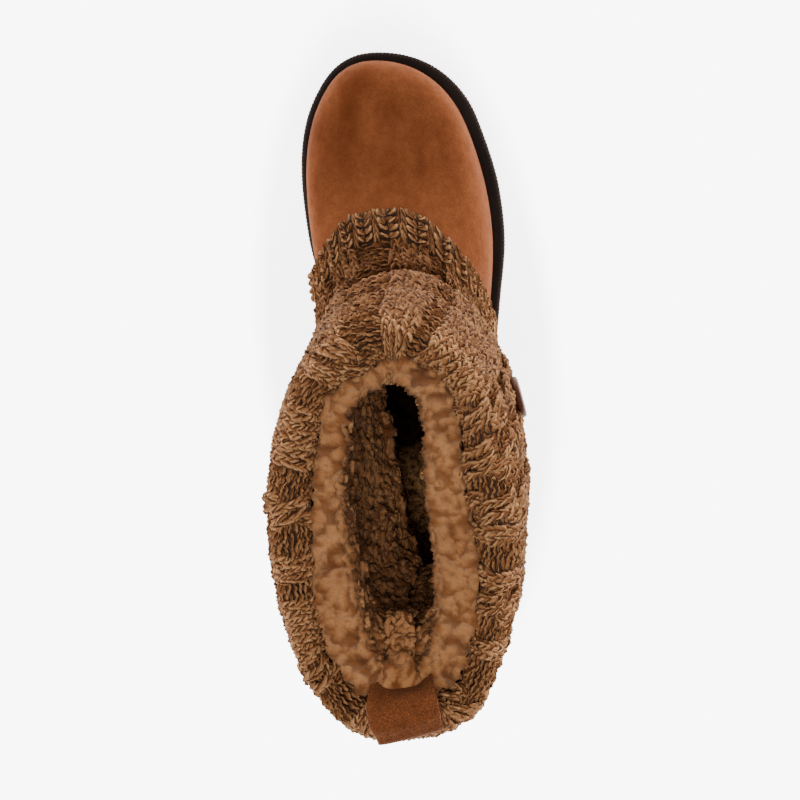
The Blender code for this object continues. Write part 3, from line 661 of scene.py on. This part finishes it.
# %% [markdown]
# ## The knitting chart
# A cable sweater pattern mixes three things: plain stitches, which look like a braid of Vs;
# purl stitches, which lie lower and look like rows of bumps; and cables, where two ropes of
# plain stitches cross over each other. The chart goes once round the boot from the back,
# outer side first. The hem is a rib: one plain column, then two of purl.

# %% The chart
CHART = (  # kind, columns, row at which a cable crosses
    ("V", 5, 0), ("X", 4, 4), ("P", 4, 0), ("V", 2, 0), ("P", 2, 0), ("X", 4, 8), ("V", 2, 0), ("P", 3, 0),
    ("V", 2, 0), ("X", 4, 5), ("P", 1, 0), ("X", 5, 1), ("X", 4, 6), ("V", 8, 0), ("P", 2, 0), ("V", 4, 0),
    ("P", 4, 0), ("X", 4, 3), ("V", 2, 0), ("P", 3, 0), ("V", 7, 0), ("P", 3, 0), ("X", 4, 6), ("P", 3, 0),
    ("V", 3, 0), ("P", 2, 0), ("V", 7, 0), ("X", 4, 6), ("P", 4, 0), ("V", 6, 0))
CABLE_ROWS = 14
kinds, centres, halves, crossings = [], [], [], []
for kind, width, crossing in CHART:
    start = len(kinds)
    kinds += [kind] * width
    centres += [start + width / 2] * width
    halves += [width / 4] * width
    crossings += [SHAFT_ROWS + crossing] * width
kinds, centres, halves, crossings = np.array(kinds), np.array(centres), np.array(halves), np.array(crossings)
print("columns in the chart:", len(kinds))


def cable_path(column, row):
    """Column and lift of a cable's column at each row."""
    middle, half, cross = centres[column], halves[column], crossings[column]
    first = column + 0.5 < middle
    phase = np.pi * (row - cross) / (CABLE_ROWS / 2)
    swing = phase - 0.35 * np.sin(2 * phase)
    ply = np.where(first, -1, 1) * np.sin(swing)
    lift = np.where(first, 1, -1) * np.cos(swing)
    inside = column + 0.5 - (middle + np.where(first, -half, half))
    return middle + ply * half * 1.02 + inside * (0.92 + 0.45 * np.abs(lift) ** 2), lift


# %% [markdown]
# ## One leg of a stitch
# Every stitch shows two short legs of yarn. One leg is modelled once, as a ball drawn out to
# a spindle and bent. Thousands of copies are then laid on the sheet by the chart. An array
# modifier can't follow a chart or swap ropes, so the copies are laid in code instead.

# %% Model the leg
deselect()
bpy.ops.mesh.primitive_uv_sphere_add(segments=5, ring_count=4, radius=1.0, rotation=(math.radians(90), 0, 0))
leg = bpy.context.object
bpy.ops.object.transform_apply(location=False, rotation=True, scale=False)
leg_points = np.array([vert.co for vert in leg.data.vertices])
leg_faces = [tuple(face.vertices) for face in leg.data.polygons]
leg_uv = [tuple(leg.data.uv_layers[0].data[loop].uv) for face in leg.data.polygons for loop in face.loop_indices]
bpy.data.objects.remove(leg, do_unlink=True)
print("leg of", len(leg_points), "points and", len(leg_faces), "faces")

# %% Lay the legs by the chart
LEG_WIDTH, LEG_LENGTH, LEG_HEIGHT = 0.33, 0.92, 0.00125
PLAIN_DEPTH, PURL_DEPTH, CABLE_LIFT = -0.0012, -0.0020, 0.0011


def laid(count):
    """The leg's own coordinates for each copy, no two quite alike."""
    vary = random.normal(0, 1, (6, count, 1))
    along = leg_points[None, :, 1] * (1 + 0.07 * vary[0])
    across = leg_points[None, :, 0] * (1 + 0.16 * vary[1])
    return along, across, leg_points[None, :, 2], 1 - along**2, vary[2:]


def wandered(column, row):
    """Hand-pulled fabric is never quite straight."""
    shift = 0.12 * np.sin(1.3 * column + 0.5 * row) + 0.12 * np.sin(0.45 * column - 0.9 * row + 2)
    rise = 0.12 * np.sin(0.8 * column + 0.9 * row + 1) + 0.10 * np.sin(1.9 * column - 0.4 * row)
    return column + shift, row + rise


column, row, hand = (a.ravel() for a in np.meshgrid(np.arange(COLUMNS), np.arange(ROWS - 1), (0, 1), indexing="ij"))
hem_top = wall_rows(column, HEM_ROWS * HEM_PITCH)
kept = stitch_row(column, row + 0.6) > hem_top
column, row, hand = column[kept], row[kept], hand[kept]
under = (kinds[column] == "X") & (np.abs(cable_path(column, row + 0.5)[1]) > 0.45)
column, row, hand = (np.concatenate([a, a[under]]) for a in (column, row, hand))
under = np.arange(len(column)) >= len(under)
count = len(column)
purl = (kinds[column] == "P") | under
cable = ~purl & (kinds[column] == "X")
along, across, over, swell, vary = laid(count)
sign = np.where(hand == 0, -1, 1)[:, None]
lean = sign * (0.23 + 0.25 * along) + 0.07 * vary[0]
plain_row = row[:, None] + 0.5 + along * LEG_LENGTH + 0.09 * vary[1]
cable_column, lift = cable_path(np.broadcast_to(column[:, None], along.shape), plain_row)
plain_column = np.where(cable[:, None], cable_column, column[:, None] + 0.5) + lean + across * LEG_WIDTH
depth = np.where(cable[:, None], PLAIN_DEPTH + CABLE_LIFT * lift - 0.0006 * (lift < 0), PLAIN_DEPTH)
plain_height = depth + over * LEG_HEIGHT + (swell - 0.7) * 0.0009 + 0.0003 * vary[2]
purl_column = column[:, None] + 0.5 + 0.5 * hand[:, None] + along * 0.62 + 0.08 * vary[0]
purl_row = row[:, None] + 0.5 * hand[:, None] + 0.35 + across * 0.34 - sign * swell * 0.42 + 0.10 * vary[1]
purl_height = PURL_DEPTH - 0.0005 * under[:, None] + over * LEG_HEIGHT + (swell - 0.5) * 0.0012 + 0.0003 * vary[2]
is_purl = purl[:, None]
leg_column, leg_row = wandered(np.where(is_purl, purl_column, plain_column), np.where(is_purl, purl_row, plain_row))
leg_places = on_sheet(leg_column, stitch_row(leg_column, leg_row), np.where(is_purl, purl_height, plain_height))
# Each leg also carries a shade value: purl legs and cable legs passing under get painted shade.
leg_values = {"strand": random.random(count) * 0.5 + (column * 0.37 + row * 0.21) % 1,
              "painted_shade": np.where(purl, 0.6, np.where(cable, np.clip(-lift[:, 0], 0, 1) * 0.7, 0.0))}
# Painted shade on the wall below the roll, darkest in a band over the instep.
shade_below_roll = 1 - smooth_step(SHAFT_ROWS - 4, SHAFT_ROWS + 3, row)
painted_instep_shade = shade_below_roll * np.exp(-((column + 0.5 - COLUMNS / 2) / 11) ** 2) * (0.6 + 0.9 * np.exp(-((row - 40) / 3.0) ** 2))
leg_values["painted_shade"] = np.maximum(leg_values["painted_shade"], shade_below_roll * 0.45) + shade_below_roll * 0.26 + painted_instep_shade * 0.42
print(count, "legs laid")

# %% [markdown]
# The hem is a thicker rib. Between two narrow plain columns stand U-shaped bumps, two columns
# wide, one over the other, and the tips of the lowest ones make the scallops of the edge. A U is laid
# from two legs that start at its foot, with a smaller U inside it.

# %% Lay the ribbed hem
rib_column, rib_row, rib_hand = (a.ravel() for a in np.meshgrid(np.arange(COLUMNS), np.arange(HEM_ROWS), (0, 1), indexing="ij"))
along, across, over, swell, vary = laid(len(rib_column))
sign = np.where(rib_hand == 0, -1, 1)[:, None]
plain = (rib_column % 3 == 0)[:, None]
inner = (rib_column % 3 == 2)[:, None]
middle = (rib_column - rib_column % 3 + 2)[:, None]
angle = sign * (along + 1) * 0.9 + 0.1 * vary[0]
wide, tall = np.where(inner, 0.46, 0.98), np.where(inner, 0.34, 0.74)
rib_x = np.where(plain, rib_column[:, None] + 0.5 + sign * (0.16 + 0.16 * along) + across * 0.24,
                 middle + (wide + across * 0.32) * np.sin(angle))
rib_y = np.where(plain, rib_row[:, None] + 0.55 + along * 0.80,
                 rib_row[:, None] + 0.20 + (tall + across * 0.25) * np.cos(angle)) + 0.06 * vary[1]
rib_height = np.where(plain, -0.0013, np.where(inner, -0.0010, -0.0002)) + over * LEG_HEIGHT + swell * 0.0004 + 0.0002 * vary[2]
rib_places = on_sheet(rib_x, wall_rows(rib_x, rib_y * HEM_PITCH), rib_height)
# Painted shade on the hem's plain columns and inner Us.
rib_values = {"strand": random.random(len(rib_column)), "painted_shade": np.where(plain[:, 0], 0.35, np.where(inner[:, 0], 0.45, 0.0))}
print(len(rib_column), "legs in the hem")

# %% [markdown]
# ## The marled yarn
# The yarn is spun from a light tan ply, a mid brown one and a dark one, so each leg shows
# short slanting streaks of all three. The streaks follow the yarn, so they are painted by
# each leg's own UV map, and an attribute gives each leg its own start in the twist. A second
# attribute darkens legs with painted shade in the recesses and below the roll.

# %% The yarn's finish
yarn, tree, shader = new_finish("marled_yarn", 1.0, 0.12, (0.75, 0.52, 0.32))
shader.inputs["Specular IOR Level"].default_value = 0.05
uv = add_node(tree, "ShaderNodeUVMap", uv_map="twist").outputs["UV"]
parts = add_node(tree, "ShaderNodeSeparateXYZ", {"Vector": uv})
strand = add_node(tree, "ShaderNodeAttribute", attribute_name="strand").outputs["Fac"]
painted_shade = add_node(tree, "ShaderNodeAttribute", attribute_name="painted_shade").outputs["Fac"]
place = object_place(tree)
fuzz = speckle(tree, place, 1500.0, 3.0, 0.7)
along_yarn = add_node(tree, "ShaderNodeCombineXYZ", {"X": arithmetic(tree, "MULTIPLY", parts.outputs["X"], 15.0), "Y": arithmetic(tree, "MULTIPLY", parts.outputs["Y"], 2.2), "Z": arithmetic(tree, "MULTIPLY", strand, 60.0)}).outputs["Vector"]
fibre = speckle(tree, along_yarn, 1.0, 3.0, 0.6)
drift = speckle(tree, place, 240.0, 2.0, 0.6)
turns = arithmetic(tree, "MULTIPLY_ADD", parts.outputs["Y"], 0.9, arithmetic(tree, "MULTIPLY", parts.outputs["X"], 2.0))
turns = arithmetic(tree, "ADD", arithmetic(tree, "ADD", turns, strand), arithmetic(tree, "MULTIPLY_ADD", fuzz, 0.55, arithmetic(tree, "MULTIPLY", drift, 0.5)))
ply = arithmetic(tree, "FRACT", turns)
tan, mid, dark, rust = (0.44, 0.235, 0.108), (0.27, 0.125, 0.052), (0.055, 0.021, 0.009), (0.20, 0.070, 0.025)
streaks = ramp(tree, ply, ((0.0, dark), (0.06, dark), (0.20, tan), (0.44, tan), (0.56, mid), (0.68, mid), (0.80, rust), (0.96, dark)))
hairy = mix_colour(tree, "MULTIPLY", 0.5, streaks, ramp(tree, fuzz, ((0.3, (0.60, 0.55, 0.50)), (0.7, (1.0, 1.0, 1.0)))))
hairy = mix_colour(tree, "MULTIPLY", 0.9, hairy, ramp(tree, fibre, ((0.32, (0.36, 0.27, 0.22)), (0.50, (0.90, 0.86, 0.82)), (0.68, (1.25, 1.22, 1.18)))))
# Painted shade: each leg's shade value darkens its colour.
shaded_yarn = mix_colour(tree, "MULTIPLY", painted_shade, hairy, (0.46, 0.38, 0.32))
tree.links.new(shaded_yarn, shader.inputs["Base Color"])
relief(tree, shader, arithmetic(tree, "MULTIPLY_ADD", arithmetic(tree, "PINGPONG", ply, 0.5), 0.9, arithmetic(tree, "MULTIPLY_ADD", fibre, 1.2, fuzz)), 0.0004, 0.7)
print("yarn finished")


# %% Join the legs into pieces
def joined(name, points, chosen, faces, uvs, values, material, replaces=()):
    """One mesh from the chosen copies, with each copy's own attributes and UV map."""
    points = points[chosen]
    copies, size = points.shape[:2]
    corner = np.concatenate([np.array(face) for face in faces])
    corners = (corner[None, :] + np.arange(copies)[:, None] * size).ravel()
    sizes = np.tile([len(face) for face in faces], copies)
    mesh = bpy.data.meshes.new(name)
    mesh.vertices.add(copies * size)
    mesh.vertices.foreach_set("co", points.ravel())
    mesh.loops.add(len(corners))
    mesh.loops.foreach_set("vertex_index", corners.astype(np.int32))
    mesh.polygons.add(len(sizes))
    mesh.polygons.foreach_set("loop_start", (np.cumsum(sizes) - sizes).astype(np.int32))
    mesh.update(calc_edges=True)
    if uvs is not None:
        mesh.uv_layers.new(name="twist").data.foreach_set("uv", np.tile(np.array(uvs).ravel(), copies))
    for label, amounts in values.items():
        made = mesh.attributes.new(label, "FLOAT", "POINT")
        made.data.foreach_set("value", np.repeat(amounts[chosen], size).astype(np.float32))
    mesh.validate()
    mesh.shade_smooth()
    piece = bpy.data.objects.new(name, mesh)
    bpy.context.scene.collection.objects.link(piece)
    return dress(piece, material, replaces)


third = (column >= 19) & (column < 56), (column >= 56) & (column < 93)
on_roll = row >= SHAFT_ROWS
for name, chosen in (("knit_rolled_edge", on_roll), ("knit_outer_side", third[0] & ~on_roll),
                     ("knit_inner_side", third[1] & ~on_roll), ("knit_back", ~third[0] & ~third[1] & ~on_roll)):
    joined(name, leg_places, chosen, leg_faces, leg_uv, leg_values, yarn)
everything = np.ones(len(rib_column), bool)
joined("knit_ribbed_hem", rib_places, everything, leg_faces, leg_uv, rib_values, yarn)

# %% [markdown]
# Under the stitches lies the cloth itself, so that no light falls between the legs. It is
# coloured near-black, painted shade between the legs. It is a closed wall: the outside follows
# the chart's relief, the inside lies on suede and lining.

# %% The cloth under the stitches
ground_columns, ground_rows = COLUMNS * 2, ROWS + 1
column = np.arange(ground_columns) / 2
row = np.linspace(0.9, ROWS - 0.6, ground_rows)
grid_column, grid_row = np.meshgrid(column, row)
index = grid_column.astype(int) % COLUMNS
sunken = (kinds[index] == "P").astype(float)
sunken = (sunken + np.roll(sunken, 1, axis=1) + np.roll(sunken, -1, axis=1)) / 3
outside = on_sheet(grid_column + 0.25, grid_row, -0.0019 - 0.0014 * sunken)
turn = even_turns(ground_columns)
hem = hem_level(turn)
inside = [over_rim(turn, -roll_edge(turn), -0.001), over_rim(turn, GAP, 0.0)]
for share in np.linspace(0.95, 0.0, 24):
    level = hem + (RIM - hem) * share
    inside.append(skin(turn, level, KNIT_EASE * (1.8 - 1.1 * smooth_step(8.6, 10.0, level))))
rings = np.concatenate([outside, np.array(inside)])
shaded_ground_finish, tree, shader = new_finish("knit_ground_painted_shade", 1.0)
shade = speckle(tree, object_place(tree), 500.0, 3.0)
# Painted shade: the cloth is near-black, darker than any ply of the yarn.
tree.links.new(ramp(tree, shade, ((0.3, (0.025, 0.011, 0.006)), (0.7, (0.060, 0.027, 0.013)))), shader.inputs["Base Color"])
relief(tree, shader, shade, 0.0006)
mesh_piece("knit_cloth", rings, ring_faces(len(rings), ground_columns, True), shaded_ground_finish, ("knit_shaft",))

# %% [markdown]
# ## The fleece lining
# The lining is sherpa fleece: a knitted back with a deep pile that clumps into curls of four
# to six millimetres. On the rim it swells into a soft bead. The pile could be hair, but hair
# renders slowly and can't be exported, so the curls are pushed out of a fine sheet in two
# sizes, and short bent locks are laid on top where the eye can see them.

# %% The lining's path from rim to toe
FLEECE_COLUMNS = 480
FLEECE_LIP = 0.0072
turn = even_turns(FLEECE_COLUMNS)[:, None]


def fleece_outside(level):
    step = smooth_step(SUEDE_TOP + 0.1, SUEDE_TOP + 0.6, level)
    return -(SUEDE_WALL + 3 * GAP) * (1 - step) - GAP * step


def fleece_inside(level):
    thick = FOOT_FLEECE + (SHAFT_FLEECE - FOOT_FLEECE) * smooth_step(5.0, 9.0, level)
    return fleece_outside(level) - thick


def lining_wall(turn, level, share=0.0):
    """The lining's inner face. It is slack, so it hangs into the shaft on its inner side
    and at the back, and share brings it out to the bead."""
    hang = eased(COLLAR, 3, np.mod(turn, 1)) * smooth_step(12.6, 8.3, level) * smooth_step(3.0, 7.0, level)
    behind = 1 - smooth_step(0.07, 0.17, np.abs(np.mod(turn + 0.5, 1) - 0.5))
    hang = hang + 0.0150 * behind * smooth_step(12.3, 11.3, level) * smooth_step(5.0, 9.0, level)
    bead_edge = -(roll_edge(turn) + GAP + eased(COLLAR, 2, np.mod(turn, 1)))
    plain = fleece_inside(level)
    return skin(turn, level, plain + (bead_edge - plain) * share - hang)


bead = eased(COLLAR, 2, turn)
section = ((0, 0), (-.09, .28), (-.09, .52), (.04, .74), (.18, .85), (.34, .90), (.52, .90), (.70, .82), (.84, .66), (.94, .42), (1, .1), (1, -.3))
top = [over_rim(turn, -(roll_edge(turn) + GAP + across * bead), FLEECE_LIP * rise) for across, rise in section]
down = [lining_wall(turn, level, share) for level, share in ((11.5, .85), (11.1, .60), (10.6, .30), (10.0, .08))]
down += [lining_wall(turn, level) for level in np.linspace(9.6, 7.0, 20)]
on_top, below_top = np.concatenate(top + down[:2], axis=1), np.concatenate(down[1:], axis=1)
shown = np.concatenate([resampled(on_top, 50), resampled(below_top, 72)[:, 1:]], axis=1).transpose(1, 0, 2)
lift = np.array([0, 0, GAP])
deep_rings = [lining_wall(turn[:, 0], level) + lift for level in np.linspace(6.8, 0.0, 28)]
deep_rings.append(skin(turn[:, 0], 0.0, fleece_inside(0.0) - 0.007) + lift)
back_rings = [skin(turn[:, 0], level, fleece_outside(level)) + lift for level in (0, 1, 1.6, 2.2, 3, 4, 5, 6, 7, 7.1, 7.6, 8.3, 9.1, 10, 11)]
back_rings.append(over_rim(turn[:, 0], -GAP, -GAP))
print("lining path of", len(shown) + len(deep_rings) + len(back_rings), "rings")

# %% Push the curls out of the sheet
pile = np.concatenate([shown, np.array(deep_rings)])
pile_out = unit(np.cross(np.gradient(pile, axis=0), np.roll(pile, -1, axis=1) - np.roll(pile, 1, axis=1)))


def curl_height(point, way):
    """Heights of the puffs and of the nubs in millimetres. On the rim the pile lies in puffs
    across the bead, and further in it clumps into nubs only."""
    wander = noise.noise_vector(point * 150.0) * 0.0022
    on_rim = way[2]
    puff = noise.voronoi(Vector((way[0] * 150.0, way[1] * 62.0, 0.0)) + wander * 200.0)[0][0]
    nub = noise.voronoi((point + wander) * (205.0 + 35.0 * on_rim))[0][0]
    small = noise.voronoi((point + wander * 0.6) * (400.0 + 70.0 * on_rim))[0][0]
    return on_rim * 2.6 * (0.24 - puff * puff), (4.6 + 0.9 * on_rim) * (0.28 - nub * nub) + 2.4 * (0.26 - small * small)


row_steps = np.linalg.norm(np.diff(pile[:, ::30], axis=0), axis=2).mean(axis=1)
way_in = np.concatenate([[0], np.cumsum(row_steps)])
BEAD_DEPTH = 0.022
way_round = np.arange(FLEECE_COLUMNS) * np.linalg.norm(np.diff(form(turn[:, 0], RIM), axis=0), axis=1).sum() / FLEECE_COLUMNS
rim_share = 1 - smooth_step(BEAD_DEPTH * 0.8, BEAD_DEPTH * 1.3, way_in)
fade = np.concatenate([0.45 + 0.55 * smooth_step(0, 6, np.arange(len(shown))), np.ones(len(deep_rings))])
puffs, nubs = np.array([[curl_height(Vector(point), (way_round[c], way_in[r], rim_share[r])) for c, point in enumerate(ring)]
                        for r, ring in enumerate(pile)]).transpose(2, 0, 1)
from_back = np.mod(turn[:, 0] + 0.5, 1) - 0.5
pressed = np.exp(-(from_back / 0.040) ** 2)[None, :] * (1 - smooth_step(0.009, 0.018, way_in))[:, None]
height = (puffs + nubs) * (1 - pressed) - 3.0 * pressed
pushed = pile + pile_out * (height * fade[:, None] * 0.001)[..., None]
print("curls up to", round(float(height.max()), 1), "mm high")

# %% The fleece's finish
fleece, tree, shader = new_finish("camel_fleece", 1.0, 0.15, (0.95, 0.72, 0.5))
# Painted shade: the pile's shade value darkens it between the curls, at the back and deeper in the shaft.
pile_shade = add_node(tree, "ShaderNodeAttribute", attribute_name="pile_shade").outputs["Fac"]
place = object_place(tree)
hair = speckle(tree, place, 1300.0, 4.0, 0.75)
tone = speckle(tree, place, 60.0, 2.0)
camel = ramp(tree, tone, ((0.3, (0.37, 0.165, 0.064)), (0.7, (0.45, 0.215, 0.088))))
camel = mix_colour(tree, "MULTIPLY", 0.5, camel, ramp(tree, hair, ((0.3, (0.62, 0.52, 0.42)), (0.68, (1.0, 1.0, 1.0)))))
camel = mix_colour(tree, "MULTIPLY", pile_shade, camel, (0.36, 0.235, 0.145))
tree.links.new(camel, shader.inputs["Base Color"])
tuft = speckle(tree, place, 520.0, 2.0, 0.6)
relief(tree, shader, arithmetic(tree, "MULTIPLY_ADD", tuft, 1.6, hair), 0.0010, 0.8)
shader.inputs["Specular IOR Level"].default_value = 0.05
rings = np.concatenate([pushed, np.array(back_rings)])
lining = mesh_piece("fleece_pile", rings, ring_faces(len(rings), FLEECE_COLUMNS, True), fleece, ("fleece_lining",))
pile_shades = np.zeros(rings.shape[:2])
at_back = np.exp(-(from_back / 0.10) ** 2)
# Painted shade in the creases between nubs and puffs, and more toward the back.
crease_shade = np.clip(0.30 - 0.62 * nubs, 0, 1) * (1 - 0.22 * rim_share[:, None]) + 0.16 * np.clip(-puffs, 0, 1)
pile_shades[:len(pushed)] = crease_shade + (0.16 - 0.06 * rim_share[:, None]) * at_back[None, :]
lining.data.attributes.new("pile_shade", "FLOAT", "POINT").data.foreach_set("value", pile_shades.ravel().astype(np.float32))
lining.data.flip_normals()

# %% [markdown]
# The sheet alone would look quilted. Inside the shaft the pile stands in separate nubs, so
# short bent locks are laid over it: the same spindle as a stitch's leg, but fat and curled.

# %% Lay the locks
LOCKS, LOCK_LENGTH, LOCK_WIDTH = 3900, 0.0032, 0.00150
ring = np.searchsorted(way_in, random.uniform(0.024, 0.140, LOCKS))
spot = random.integers(0, FLEECE_COLUMNS, LOCKS)
normal = unit(pile_out[ring, spot])
upward = unit(pile[ring - 1, spot] - pile[ring + 1, spot])
sideways = np.cross(normal, upward)
tilt = random.normal(0, 0.75, LOCKS)[:, None]
run = upward * np.cos(tilt) + sideways * np.sin(tilt)
beside = np.cross(normal, run)
vary = random.normal(0, 1, (3, LOCKS, 1))
along, across, over = (leg_points[None, :, axis] for axis in (1, 0, 2))
size = 1 + 0.2 * vary[0]
curl = np.where(random.random(LOCKS) < 0.5, -1, 1)[:, None]
lengthwise = np.sin(1.2 * along) / 1.2 * LOCK_LENGTH * size
crosswise = curl * (1 - np.cos(1.2 * along)) / 1.2 * LOCK_LENGTH * size + across * LOCK_WIDTH * (1 + 0.15 * vary[1])
outward = over * LOCK_WIDTH + (1 - along**2) * 0.0007 + 0.0003 * vary[2]
lock_places = (pushed[ring, spot][:, None] + run[:, None] * lengthwise[..., None] + beside[:, None] * crosswise[..., None]
               + normal[:, None] * outward[..., None])
# Painted shade on the locks, growing with their depth in the shaft.
lock_values = {"pile_shade": np.clip(random.normal(0.42, 0.14, LOCKS), 0, 0.9) * smooth_step(0.018, 0.048, way_in[ring])}
joined("fleece_locks", lock_places, np.ones(LOCKS, bool), leg_faces, None, lock_values, fleece)

# %% [markdown]
# ## The pull loop
# The loop is a strap of suede, sewn in between knit and fleece and folded back over the
# collar. Its solid lies right, so a merged copy is rounded, and it gets a more speckled nap
# than the foot, because its edges and its flesh side are raw.

# %% The loop's finish and its rounded copy
strap_suede, tree, shader = new_finish("speckled_suede", 0.93, 0.06, (0.95, 0.6, 0.35))
place = object_place(tree)
dots = speckle(tree, place, 1700.0, 2.0, 0.6)
wear_and_painted_shade = speckle(tree, place, 150.0, 3.0, 0.6)
base = ramp(tree, wear_and_painted_shade, ((0.3, (0.105, 0.028, 0.006)), (0.7, (0.150, 0.042, 0.010))))
tree.links.new(mix_colour(tree, "MULTIPLY", 0.8, base, ramp(tree, dots, ((0.36, (0.40, 0.35, 0.30)), (0.55, (1.0, 1.0, 1.0)), (0.70, (1.6, 1.7, 1.8))))), shader.inputs["Base Color"])
relief(tree, shader, dots, 0.0004)
strap = rounded_copy("pull_loop", "pull_loop_strap", 2)
dress(strap, strap_suede, ("pull_loop",))

# %% [markdown]
# ## The button
# A turned button with a raised rim, the colour of polished horn. Seen from above it is only
# a line, but from the side it is the one shiny thing on the boot.

# %% The button's finish and its rounded copy
horn, tree, shader = new_finish("horn_brown", 0.55)
shader.inputs["Specular IOR Level"].default_value = 0.12
veins = speckle(tree, object_place(tree), 260.0, 4.0, 0.6)
tree.links.new(ramp(tree, veins, ((0.3, (0.042, 0.010, 0.004)), (0.7, (0.085, 0.024, 0.009)))), shader.inputs["Base Color"])
relief(tree, shader, veins, 0.0001, 0.4)
button = rounded_copy("button", "round_button", 2)
dress(button, horn, ("button",))
